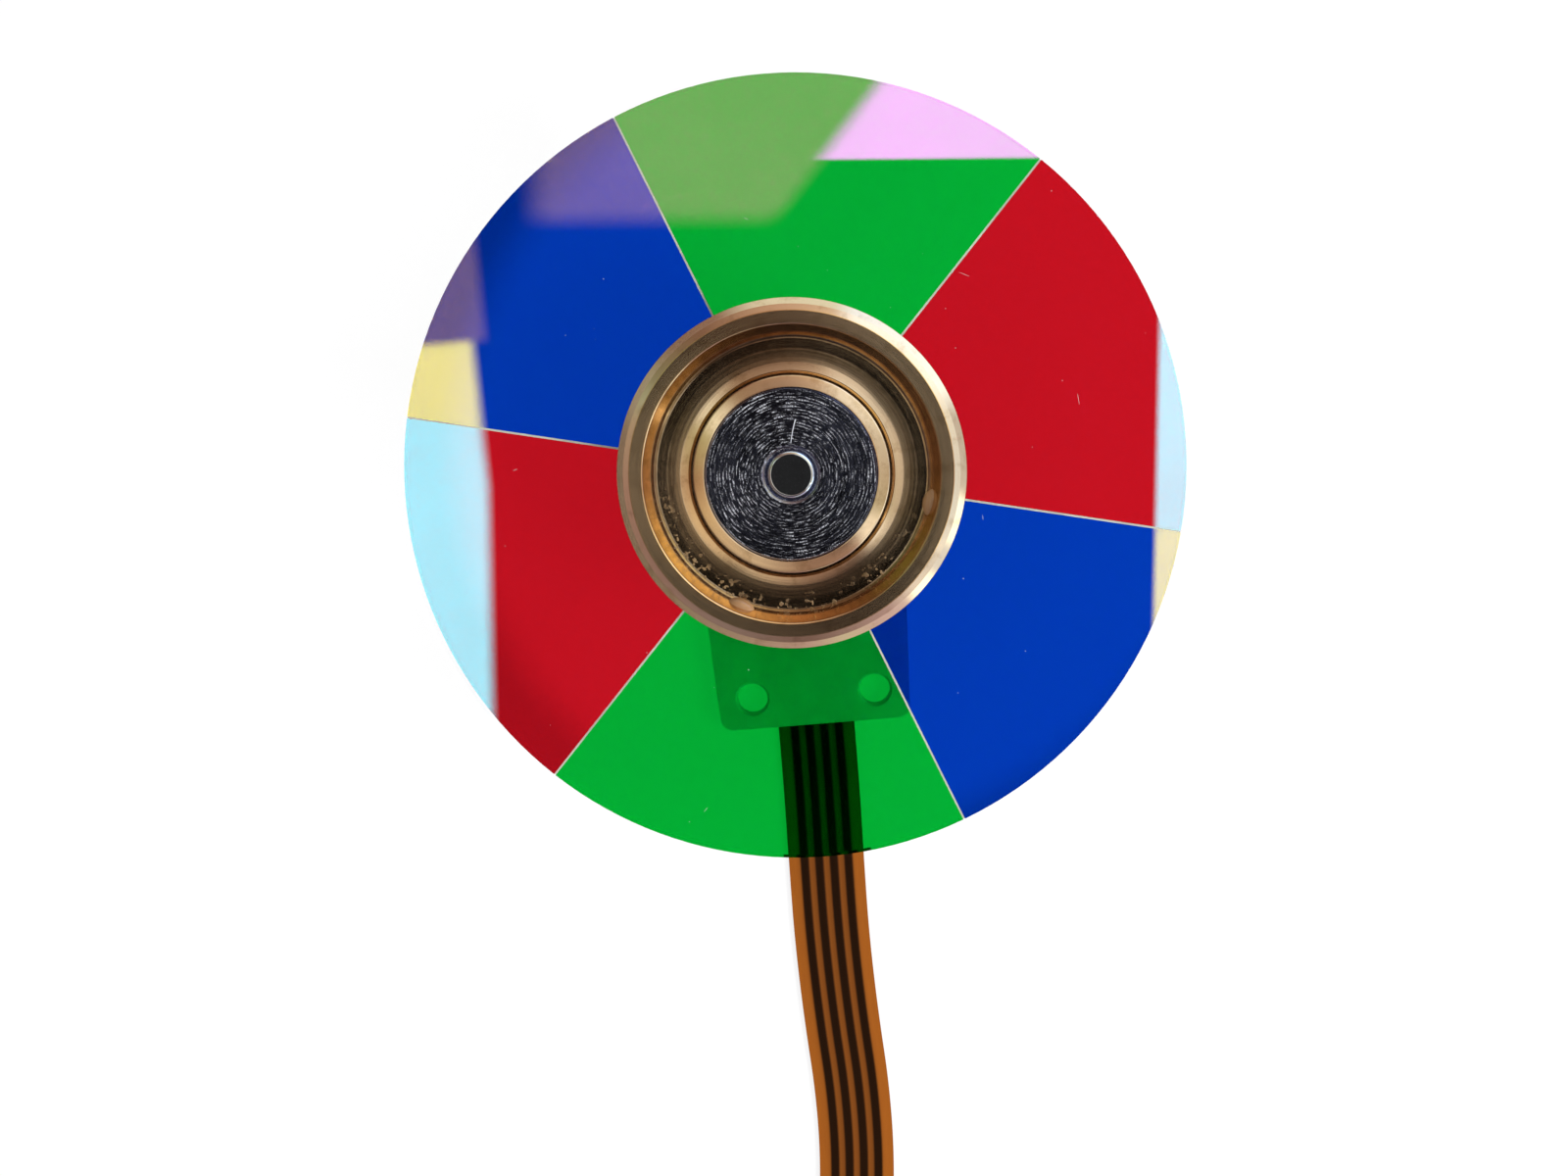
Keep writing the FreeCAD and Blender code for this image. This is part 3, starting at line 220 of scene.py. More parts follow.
# Flat cable: sideways place and distance from the tab's end of each point of its route
flatCable = {
    "route": [
        (0.0, 0.0), (0.0, 0.0046), (-0.00012, 0.0098), (-0.0002, 0.0154), (-0.00002, 0.0212),
        (0.00036, 0.027), (0.00024, 0.0326), (-0.0005, 0.0386), (-0.0015, 0.0446), (-0.0022, 0.0508),
        (-0.0023, 0.057), (-0.0018, 0.0632), (-0.0011, 0.0692), (-0.0007, 0.0746),
    ],
    "tabEnd": -0.0174,
    "level": 0.000225,
    "width": 0.0053,
    "thickness": 0.00015,
    "trackPitch": 0.00103,
    "trackWidth": 0.0006,
    "trackSlope": 0.00012,
    "trackSunk": 0.00003,
    "length": 0.0748,
    "stepsPerSpan": 10,
}


# The smooth line through the route, as points of a NURBS curve
def cablePath(cable):
    curve = bpy.data.curves.new("cable_route", "CURVE")
    curve.dimensions = "3D"
    curve.resolution_u = cable["stepsPerSpan"]
    spline = curve.splines.new("NURBS")
    spline.points.add(len(cable["route"]) - 1)
    for point, (side, run) in zip(spline.points, cable["route"]):
        point.co = (side, cable["tabEnd"] - run, cable["level"], 1)
    spline.order_u = 3
    spline.use_endpoint_u = True
    holder = bpy.data.objects.new("cable_route", curve)
    scene.collection.objects.link(holder)
    bpy.context.view_layer.update()
    line = bpy.data.meshes.new_from_object(holder)
    points = [vertex.co.copy() for vertex in line.vertices]
    bpy.data.objects.remove(holder)
    return points


# The film's outline across the cable: flat below, raised over each of the four copper tracks
def cableSection(cable):
    half = cable["width"] / 2
    top = cable["thickness"] / 2
    low = top - cable["trackSunk"]
    slope = cable["trackSlope"]
    corners = [(-half, -top), (half, -top), (half, low)]
    for i in (3, 2, 1, 0):
        middle = cable["trackPitch"] * (i - 1.5)
        right = middle + cable["trackWidth"] / 2
        left = middle - cable["trackWidth"] / 2
        corners += [(right + slope, low), (right, top), (left, top), (left - slope, low)]
    return corners + [(-half, low)]


# The section swept along the path; each corner keeps its sideways place for the film's pattern
def makeCable(cable):
    path = cablePath(cable)
    bm = bmesh.new()
    across = bm.verts.layers.float.new("across")
    frames = []
    for i, point in enumerate(path):
        ahead = path[min(i + 1, len(path) - 1)] - path[max(i - 1, 0)]
        ahead.normalize()
        side = ahead.cross(Vector((0, 0, 1))).normalized()
        columns = Matrix((side, Vector((0, 0, 1)), ahead)).transposed().to_4x4()
        frames.append(Matrix.Translation(point) @ columns)
    corners = [bm.verts.new(frames[0] @ Vector((side, up, 0))) for side, up in cableSection(cable)]
    for vertex, (side, up) in zip(corners, cableSection(cable)):
        vertex[across] = side
    end = bm.faces.new(corners)
    run = 0.0
    for i in range(1, len(path)):
        run += (path[i] - path[i - 1]).length
        made = bmesh.ops.extrude_face_region(bm, geom=[end])["geom"]
        moved = [item for item in made if isinstance(item, bmesh.types.BMVert)]
        end = [item for item in made if isinstance(item, bmesh.types.BMFace)][0]
        bmesh.ops.transform(bm, matrix=frames[i] @ frames[i - 1].inverted(), verts=moved)
    print("flat cable:", round(run * 1000, 2), "mm long")
    return finishPiece("flat_cable", bm, 50), path


cable, cableLine = makeCable(flatCable)


# Glass filters: color let through, color thrown back, and the share of that color left where the glass is
# seen slanted near the rim, which is painted shade for the darker ground behind the rim
filterGlass = {
    "green_glass": {"passed": (0.001, 0.42, 0.028), "thrownBack": (0.95, 0.13, 0.95), "paintedSlantShade": 1.0},
    "blue_glass": {"passed": (0.0008, 0.036, 0.45), "thrownBack": (0.9, 0.78, 0.03), "paintedSlantShade": 0.58},
    "red_glass": {"passed": (0.55, 0.0055, 0.0125), "thrownBack": (0.02, 0.86, 0.98), "paintedSlantShade": 0.7},
}
glassLook = {"ior": 1.3, "slantEdge": (0.0265, 0.036), "shade": 0.9}


# Glass that passes one color, made darker where it is seen slanted as painted shade for the darker ground
# behind the rim; shadow and scattered light go straight through
def makeFilterGlass(name, look):
    material, tree = newMaterial(name)
    entering = calc(tree, "SUBTRACT", 1.0, addNode(tree, "NewGeometry").outputs["Backfacing"])
    slant = multiply(tree, entering, step(tree, facing(tree), *glassLook["slantEdge"]))
    # Painted shade: the passed color made darker where the glass is seen slanted, near the disc's rim
    paintedShadeColor = [part * look["paintedSlantShade"] ** 2 for part in look["passed"]]
    color = blendColors(tree, slant, look["passed"], paintedShadeColor)
    glass = principled(tree, Base_Color=color, Roughness=0.0, IOR=glassLook["ior"], Transmission_Weight=1.0)
    through = seenBy(tree, "Is Shadow Ray", "Is Diffuse Ray")
    showShader(tree, mixShaders(tree, through, glass, transparent(tree, glassLook["shade"])))
    return material


# The filters' coating, a thin film on the glass
coating = {
    "share": 0.43,
    "fadeEdge": (0.06, 0.3),
    "leastLeft": 0.12,
    "patches": 90.0,
    "patchEdge": (0.3, 0.7),
    "uneven": (0.94, 1.06),
    "lift": 0.000004,
    "thickness": 0.000006,
    "fromRing": 0.00002,
    "steps": 48,
}


# The coating's mirror color, strongest for light that meets it head on, slightly uneven
def makeCoating(name, thrownBack):
    material, tree = newMaterial(name)
    least = coating["share"] * coating["leastLeft"]
    share = step(tree, facing(tree), *coating["fadeEdge"], coating["share"], least)
    patches = noise(tree, objectPlace(tree), coating["patches"])
    uneven = step(tree, patches, *coating["patchEdge"], *coating["uneven"])
    color = blendColors(tree, multiply(tree, share, uneven), (0, 0, 0), thrownBack)
    mirror = addNode(tree, "BsdfGlossy", {"Color": color, "Roughness": 0.0}).outputs[0]
    showShader(tree, addShaders(tree, transparent(tree), mirror))
    return material


# Old glue in the balance ring's groove: a dark film and pale specks, a dark foot and a lined band.
# Four numbers say where something starts, is full, ends and is gone; two say where it changes
grooveWear = {
    "film": (0.0074, 0.0078, 0.0089, 0.009),
    "filmTop": (0.0088, 0.00885),
    "filmColor": (0.16, 0.1, 0.055),
    "filmShare": (0.1, 0.3),
    "mottle": (1700.0, 4.0, 0.7),
    "mottleEdge": (0.4, 0.62),
    "flakes": (3600.0, 1.0),
    "flakeEdge": (0.58, 0.66),
    "patches": (700.0, 2.0),
    "patchEdge": (0.36, 0.6),
    "sideTurn": 1.75,
    "sideEdge": (0.9, 1.5),
    "flakeColor": (0.62, 0.42, 0.24),
    "flakeShare": 0.7,
    "flakeHeight": 3.0,
    "flakeRoughness": 0.25,
    "foot": (0.0085, 0.00862, 0.00895, 0.009),
    "footTop": (0.0086, 0.0088),
    "footColor": (0.1, 0.06, 0.03),
    "footShare": 0.6,
    "lined": (0.00705, 0.0072, 0.0078, 0.008),
    "linedTop": (0.0087, 0.0088),
    "linedColor": (0.12, 0.07, 0.035),
    "linedShare": 0.55,
    "linedHeight": 2.6,
    "rim": (0.01003, 0.010045),
    "dulled": 0.065,
}


def wearGroove(tree, wear, place, bands, color, roughness, height):
    radius, zed, angle = place
    spot = objectPlace(tree)
    film = multiply(tree, band(tree, radius, *wear["film"]), fade(tree, zed, *wear["filmTop"]))
    turned = calc(tree, "WRAP", add(tree, angle, wear["sideTurn"]), math.pi, -math.pi)
    side = fade(tree, calc(tree, "ABSOLUTE", turned), *wear["sideEdge"])
    flakes = step(tree, noise(tree, spot, *wear["flakes"]), *wear["flakeEdge"])
    patches = step(tree, noise(tree, spot, *wear["patches"]), *wear["patchEdge"])
    flakes = multiply(tree, film, multiply(tree, flakes, patches, side))
    mottle = step(tree, noise(tree, spot, *wear["mottle"]), *wear["mottleEdge"])
    least, more = wear["filmShare"]
    shade = multiply(tree, film, add(tree, multiply(tree, mottle, more), least))
    color = blendColors(tree, shade, color, wear["filmColor"])
    color = blendColors(tree, multiply(tree, flakes, wear["flakeShare"]), color, wear["flakeColor"])
    foot = multiply(tree, band(tree, radius, *wear["foot"]), fade(tree, zed, *wear["footTop"]))
    color = blendColors(tree, multiply(tree, foot, wear["footShare"]), color, wear["footColor"])
    lined = multiply(tree, band(tree, radius, *wear["lined"]), fade(tree, zed, *wear["linedTop"]))
    color = blendColors(tree, multiply(tree, lined, wear["linedShare"]), color, wear["linedColor"])
    height = add(tree, height, multiply(tree, flakes, wear["flakeHeight"]))
    height = add(tree, height, multiply(tree, lined, bands, wear["linedHeight"]))
    dull = calc(tree, "MAXIMUM", step(tree, zed, *wear["rim"]), lined)
    roughness = add(tree, roughness, multiply(tree, dull, wear["dulled"]))
    roughness = add(tree, roughness, multiply(tree, flakes, wear["flakeRoughness"]))
    return color, roughness, height


# Broken rings of bright scratches on the hub's face, and one longer scratch across them
hubScratches = {
    "fine": (11000, 5.0, 0.0, 2.0, 0.6),
    "fineEdge": (0.5, 0.59),
    "ringPitch": 0.0002,
    "ringEdge": (-0.5, 0.6),
    "betweenRings": 0.15,
    "gaps": (9000.0, 55.0, 7.0, 3.0, 0.7),
    "gapEdge": (0.44, 0.56),
    "patches": (420.0, 2.0),
    "patchEdge": (0.38, 0.62),
    "betweenPatches": 0.35,
    "lineSlope": 58.6,
    "lineAngle": 1.607,
    "lineEdge": (0.005, 0.014),
    "lineSpan": (0.0019, 0.002, 0.0034, 0.0035),
    "color": (0.86, 0.88, 0.98),
    "metallic": 0.5,
    "roughness": 0.5,
    "share": 0.9,
}


def scratchFace(tree, look, radius, angle, shader):
    scratch = step(tree, streaks(tree, radius, angle, *look["fine"]), *look["fineEdge"])
    rings = calc(tree, "SINE", multiply(tree, radius, 2 * math.pi / look["ringPitch"]))
    scratch = multiply(tree, scratch, step(tree, rings, *look["ringEdge"], look["betweenRings"], 1.0))
    gaps = step(tree, streaks(tree, radius, angle, *look["gaps"]), *look["gapEdge"])
    patches = noise(tree, objectPlace(tree), *look["patches"])
    patches = step(tree, patches, *look["patchEdge"], look["betweenPatches"], 1.0)
    scratch = multiply(tree, scratch, multiply(tree, gaps, patches))
    leaning = add(tree, angle, multiply(tree, radius, look["lineSlope"]))
    away = calc(tree, "ABSOLUTE", calc(tree, "SUBTRACT", leaning, look["lineAngle"]))
    line = multiply(tree, fade(tree, away, *look["lineEdge"]), band(tree, radius, *look["lineSpan"]))
    scratch = multiply(tree, calc(tree, "MAXIMUM", scratch, line), look["share"])
    worn = principled(tree, Base_Color=look["color"], Metallic=look["metallic"], Roughness=look["roughness"])
    return mixShaders(tree, scratch, shader, worn)


# Turned metals: pitch is how many marks of the lathe there are to the metre, spots how deep the pits are
turnedMetals = {
    "turned_brass": {"color": (0.74, 0.52, 0.31), "stain": (0.6, 0.4, 0.22), "roughness": 0.15,
                     "marks": 0.35, "pitch": 30000, "spots": 0.3, "wear": grooveWear},
    # The hub's steel grey is darkened and tinted blue as a painted reflection of the dark card overhead
    "hub_steel": {"color": (0.25, 0.26, 0.38), "stain": (0.14, 0.145, 0.22), "roughness": 0.16,
                  "marks": 0.7, "pitch": 14000, "spots": 0.8, "scratches": hubScratches},
    "polished_steel": {"color": (0.62, 0.63, 0.65), "stain": (0.5, 0.5, 0.52), "roughness": 0.07,
                       "marks": 0.05, "pitch": 60000, "spots": 0.05, "metallic": 0.983},
    "plated_steel": {"color": (0.48, 0.48, 0.47), "stain": (0.35, 0.35, 0.34), "roughness": 0.24,
                     "marks": 0.2, "pitch": 22000, "spots": 0.15},
    "housing_metal": {"color": (0.68, 0.5, 0.28), "stain": (0.5, 0.33, 0.16), "roughness": 0.25,
                      "marks": 0.3, "pitch": 20000, "spots": 0.1},
    "cage_brass": {"color": (0.7, 0.52, 0.3), "stain": (0.5, 0.36, 0.18), "roughness": 0.28,
                   "marks": 0.1, "pitch": 30000, "spots": 0.1},
}
# The same for all of them. Fine and coarse: how fine round the axis, which pattern, detail, roughness
turning = {
    "lean": 0.37,
    "fine": (1.4, 0.0, 2.0, 0.5),
    "coarse": (0.7, 4.0, 3.0, 0.5),
    "coarsePitch": 0.16,
    "stains": (900.0, 4.0, 0.6),
    "stainEdge": (0.5, 0.75),
    "pits": (9000.0, 2.0),
    "pitEdge": (0.62, 0.72),
    "pitDepth": 0.4,
    "relief": (0.5, 0.000006),
    "anisotropic": 0.6,
    "rotation": 0.25,
}


# Fine and coarse marks of the lathe, stains and pits
def makeTurnedMetal(name, look):
    material, tree = newMaterial(name)
    radius, zed, angle = turnedPlace(tree)
    profile = add(tree, radius, multiply(tree, zed, turning["lean"]))
    marks = streaks(tree, profile, angle, look["pitch"], *turning["fine"])
    bands = streaks(tree, profile, angle, look["pitch"] * turning["coarsePitch"], *turning["coarse"])
    stain = step(tree, noise(tree, objectPlace(tree), *turning["stains"]), *turning["stainEdge"])
    pits = step(tree, noise(tree, objectPlace(tree), *turning["pits"]), *turning["pitEdge"])
    color = blendColors(tree, stain, look["color"], look["stain"])
    roughness = add(tree, multiply(tree, bands, look["roughness"] * 0.8), look["roughness"] * 0.6)
    height = add(tree, multiply(tree, marks, look["marks"]), multiply(tree, bands, look["marks"] * 0.8))
    height = calc(tree, "SUBTRACT", height, multiply(tree, pits, look["spots"] * turning["pitDepth"]))
    if "wear" in look:
        place = (radius, zed, angle)
        color, roughness, height = wearGroove(tree, look["wear"], place, bands, color, roughness, height)
    tangent = addNode(tree, "Tangent", direction_type="RADIAL", axis="Z").outputs[0]
    shader = principled(tree, Base_Color=color, Metallic=look.get("metallic", 1.0), Roughness=roughness,
                        Normal=bump(tree, height, *turning["relief"]), Tangent=tangent,
                        Anisotropic=turning["anisotropic"], Anisotropic_Rotation=turning["rotation"])
    if "scratches" in look:
        shader = scratchFace(tree, look["scratches"], radius, angle, shader)
    showShader(tree, shader)
    return material


# Plain finishes: two colors in patches ten times as large as the grain
plainFinishes = {
    "plate_metal": {"color": (0.62, 0.63, 0.67), "second": (0.54, 0.55, 0.58),
                    "metallic": 0.2, "roughness": 0.5, "grain": 4000, "bump": 0.25},
    "core_steel": {"color": (0.3, 0.31, 0.33), "second": (0.2, 0.2, 0.22),
                   "metallic": 1.0, "roughness": 0.4, "grain": 3000, "bump": 0.3},
    "magnet": {"color": (0.05, 0.05, 0.055), "second": (0.08, 0.08, 0.085),
               "metallic": 0.0, "roughness": 0.6, "grain": 7000, "bump": 0.4},
    "bobbin_plastic": {"color": (0.03, 0.032, 0.035), "second": (0.05, 0.05, 0.052),
                       "metallic": 0.0, "roughness": 0.5, "grain": 5000, "bump": 0.2},
    "solder": {"color": (0.68, 0.68, 0.66), "second": (0.5, 0.5, 0.5),
               "metallic": 1.0, "roughness": 0.22, "grain": 2500, "bump": 0.35},
    "gold": {"color": (0.85, 0.62, 0.25), "second": (0.8, 0.56, 0.22),
             "metallic": 1.0, "roughness": 0.25, "grain": 6000, "bump": 0.15},
    "black_mark": {"color": (0.02, 0.02, 0.02), "second": (0.035, 0.035, 0.035),
                   "metallic": 0.0, "roughness": 0.7, "grain": 5000, "bump": 0.3},
    "joint_glue": {"color": (0.4, 0.41, 0.34), "second": (0.3, 0.3, 0.25),
                   "metallic": 0.0, "roughness": 0.4, "grain": 3000, "bump": 0.3},
    "clear_glue": {"color": (0.5, 0.42, 0.28), "second": (0.36, 0.29, 0.18),
                   "metallic": 0.0, "roughness": 0.3, "grain": 1500, "bump": 0.3},
    "stiffener": {"color": (0.5, 0.24, 0.04), "second": (0.42, 0.19, 0.03),
                  "metallic": 0.0, "roughness": 0.35, "grain": 2500, "bump": 0.2},
    "balance_glue": {"color": (0.36, 0.2, 0.09), "second": (0.28, 0.15, 0.07),
                     "metallic": 0.0, "roughness": 0.22, "grain": 1800, "bump": 0.3},
}


def makePlainFinish(name, look):
    material, tree = newMaterial(name)
    place = objectPlace(tree)
    patches = noise(tree, place, look["grain"] * 0.1, 4.0, 0.6)
    grain = noise(tree, place, look["grain"])
    color = blendColors(tree, step(tree, patches, 0.35, 0.7), look["color"], look["second"])
    roughness = add(tree, multiply(tree, grain, look["roughness"] * 0.5), look["roughness"] * 0.75)
    relief = bump(tree, grain, look["bump"], 0.00001)
    shader = principled(tree, Base_Color=color, Metallic=look["metallic"], Roughness=roughness,
                        Normal=relief)
    showShader(tree, shader)
    return material


# Enamelled copper: fine turns of wire wound round each tooth
copperLook = {"color": (0.6, 0.24, 0.08), "second": (0.78, 0.36, 0.14), "patches": 600.0,
              "turnPitch": 0.00012, "roughness": 0.3, "coat": 0.4, "relief": (0.8, 0.00003)}


def makeCopper(name, look):
    material, tree = newMaterial(name)
    turns = calc(tree, "SINE", multiply(tree, turnedPlace(tree)[0], 2 * math.pi / look["turnPitch"]))
    patches = noise(tree, objectPlace(tree), look["patches"])
    color = blendColors(tree, patches, look["color"], look["second"])
    shader = principled(tree, Base_Color=color, Metallic=1.0, Roughness=look["roughness"],
                        Coat_Weight=look["coat"], Normal=bump(tree, turns, *look["relief"]))
    showShader(tree, shader)
    return material


# Amber film over four dark copper tracks. Edges are shares of the tracks' pitch, or of half a track
filmLook = {
    "margin": (0.27, 0.078, 0.008),
    "between": (0.15, 0.045, 0.006),
    "betweenEdge": (1.5, 2.1),
    "track": (0.012, 0.004, 0.001),
    "trackEdge": (0.7, 1.35),
    "lastTrackEdge": (2.02, 2.12),
    "streak": (0.17, 0.04, 0.008),
    "streakShare": 0.35,
    "streakScale": 5000.0,
    "streakStretch": (1, 0.12, 1),
    "relief": (0.2, 0.000008),
    "roughness": 0.3,
    "specular": 0.07,
}


def makeFilm(name, sideways, look):
    material, tree = newMaterial(name)
    if sideways == "attribute":
        across = addNode(tree, "Attribute", attribute_name="across").outputs["Fac"]
    else:
        across = addNode(tree, "SeparateXYZ", {"Vector": objectPlace(tree)}).outputs[0]
    pitch = flatCable["trackPitch"]
    half = flatCable["trackWidth"] / 2
    shifted = calc(tree, "SUBTRACT", across, pitch * 0.5)
    nearest = calc(tree, "ABSOLUTE", calc(tree, "WRAP", shifted, pitch * 0.5, -pitch * 0.5))
    away = calc(tree, "ABSOLUTE", across)
    inside = fade(tree, away, *[pitch * share for share in look["lastTrackEdge"]])
    track = multiply(tree, inside, fade(tree, nearest, *[half * share for share in look["trackEdge"]]))
    center = fade(tree, away, *[pitch * share for share in look["betweenEdge"]])
    stretched = addNode(tree, "Mapping", {"Vector": objectPlace(tree), "Scale": look["streakStretch"]})
    streak = noise(tree, stretched.outputs[0], look["streakScale"])
    film = blendColors(tree, center, look["margin"], look["between"])
    film = blendColors(tree, multiply(tree, streak, look["streakShare"]), film, look["streak"])
    color = blendColors(tree, track, film, look["track"])
    shader = principled(tree, Base_Color=color, Roughness=look["roughness"],
                        Specular_IOR_Level=look["specular"], Normal=bump(tree, streak, *look["relief"]))
    showShader(tree, shader)
    return material


materials = {name: makeFilterGlass(name, look) for name, look in filterGlass.items()}
materials.update({name: makeTurnedMetal(name, look) for name, look in turnedMetals.items()})
materials.update({name: makePlainFinish(name, look) for name, look in plainFinishes.items()})
materials["copper"] = makeCopper("copper", copperLook)
materials["polyimide"] = makeFilm("polyimide", "place", filmLook)
cableFilm = makeFilm("polyimide_cable", "attribute", filmLook)
coatings = {name: makeCoating(name + "_coating", look["thrownBack"]) for name, look in filterGlass.items()}
print("materials made:", len(materials))

for part in frame["record"]["subparts"]:
    mesh = nodes[part["node"]].data
    mesh.materials.clear()
    mesh.materials.append(materials[part["material_slot"]])

# The cable rides on the base and carries its contact end
cable.data.materials.append(cableFilm)
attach(cable, "base")
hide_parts("flex_cable")
print("cable laid")


# Coatings: a film on the upper face of each filter, from the ring's foot to the rim
def makeCoatingFilm(filterName, innerRadius):
    spots = [vertex.co for vertex in nodes[filterName].data.vertices]
    rim = max(math.hypot(spot.x, spot.y) for spot in spots)
    outer = [spot for spot in spots if math.hypot(spot.x, spot.y) > rim * 0.999]
    middle = sum((spot for spot in outer), Vector()) / len(outer)
    heading = math.atan2(middle.y, middle.x)
    turns = [math.remainder(math.atan2(spot.y, spot.x) - heading, 2 * math.pi) for spot in outer]
    low = max(spot.z for spot in spots) + coating["lift"]
    bm = bmesh.new()
    start = heading + min(turns)
    ends = [bm.verts.new((radius * math.cos(start), radius * math.sin(start), low))
            for radius in (innerRadius, rim)]
    edge = bm.edges.new(ends)
    bmesh.ops.spin(bm, geom=[edge, *edge.verts], cent=(0, 0, 0), axis=(0, 0, 1),
                   angle=max(turns) - min(turns), steps=coating["steps"])
    made = bmesh.ops.extrude_face_region(bm, geom=bm.faces[:])["geom"]
    upper = [item for item in made if isinstance(item, bmesh.types.BMVert)]
    bmesh.ops.translate(bm, vec=(0, 0, coating["thickness"]), verts=upper)
    return finishPiece(filterName + "_coating", bm)


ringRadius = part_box("balance_ring")[1].x
for part in frame["record"]["subparts"]:
    if part["material_slot"] in filterGlass:
        film = makeCoatingFilm(part["node"], ringRadius + coating["fromRing"])
        film.data.materials.append(coatings[part["material_slot"]])
        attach(film, "rotor")
print("coatings laid")

# Specks of dust and short scratches on the glass, as thin flakes
dust = {
    "seed": 7,
    "radius": (0.0122, 0.0242),
    "specks": 28,
    "size": (0.000016, 0.000042),
    "scratches": 6,
    "length": (0.0003, 0.0008),
    "width": 0.000012,
    "lift": 0.000013,
    "thickness": 0.000006,
}
dustFinish = {"color": (0.5, 0.5, 0.49), "second": (0.4, 0.4, 0.4),
              "metallic": 0.0, "roughness": 0.8, "grain": 3000, "bump": 0.2}


def makeDust(look):
    random.seed(look["seed"])
    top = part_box("green_filter_upper")[1].z + look["lift"]
    bm = bmesh.new()
    for i in range(look["specks"] + look["scratches"]):
        reach = random.uniform(*look["radius"])
        angle = random.uniform(0, 2 * math.pi)
        turn = random.uniform(0, math.pi)
        place = Matrix.Translation((reach * math.cos(angle), reach * math.sin(angle), top))
        if i < look["specks"]:
            long = random.uniform(*look["size"])
            wide = long * random.uniform(0.5, 1)
        else:
            long = random.uniform(*look["length"]) / 2
            wide = look["width"]
        shape = Matrix.Diagonal((long, wide, look["thickness"], 1))
        bmesh.ops.create_cone(bm, cap_ends=True, segments=6, radius1=1, radius2=0.7, depth=1,
                              matrix=place @ Matrix.Rotation(turn, 4, "Z") @ shape)
    return finishPiece("glass_dust", bm)


dustFlecks = makeDust(dust)
dustFlecks.data.materials.append(makePlainFinish("dust", dustFinish))
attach(dustFlecks, "rotor")
print("dust strewn")


# Balance ring: radius and height of each corner of its turned section, in millimetres
ringLook = {
    "section": [
        (5.43, 7.8), (10.85, 7.8), (11.0, 7.95), (11.0, 9.46), (10.56, 9.83), (10.16, 10.05),
        (9.36, 10.05), (9.3, 9.99), (8.88, 8.735), (8.79, 8.6), (8.67, 8.525), (8.55, 8.5), (7.85, 8.5),
        (7.5, 8.505), (7.15, 8.525), (6.52, 8.62), (6.42, 9.05), (6.37, 9.08), (6.37, 8.87), (6.2, 8.87),
        (6.2, 9.42), (6.16, 9.475), (6.08, 9.495), (5.5, 9.585), (5.43, 9.54),
    ],
    "steps": 300,
    "edge": 0.03,
}


def makeTurnedRing(name, look):
    bm = bmesh.new()
    points = [bm.verts.new((radius / 1000, 0, height / 1000)) for radius, height in look["section"]]
    lines = [bm.edges.new((points[i - 1], points[i])) for i in range(len(points))]
    bmesh.ops.spin(bm, geom=points + lines, cent=(0, 0, 0), axis=(0, 0, 1), angle=2 * math.pi,
                   steps=look["steps"], use_merge=True)
    bmesh.ops.recalc_face_normals(bm, faces=bm.faces)
    sharp = [edge for edge in bm.edges if edge.calc_face_angle(0) > math.radians(20)]
    bmesh.ops.bevel(bm, geom=sharp, offset=look["edge"] / 1000, segments=1, profile=0.5, affect="EDGES",
                    clamp_overlap=True, material=-1)
    return finishPiece(name, bm, 6)


ring = makeTurnedRing("turned_balance_ring", ringLook)
ring.data.materials.append(materials["turned_brass"])
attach(ring, "rotor")
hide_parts("balance_ring")
print("ring turned")


# Floor, light and surroundings
floorLook = {
    "size": 4.0,
    "level": -0.00003,
    "color": (0.16, 0.16, 0.16),
    "glow": 0.82,
    "bounce": 0.5,
    "near": 0.08,
    "far": 0.3,
    "nearGlow": 0.82,
    "farGlow": 0.92,
}
lamps = {
    "key": {"place": (0.2, -0.1, 0.17), "size": 0.12, "power": 0.95},
}
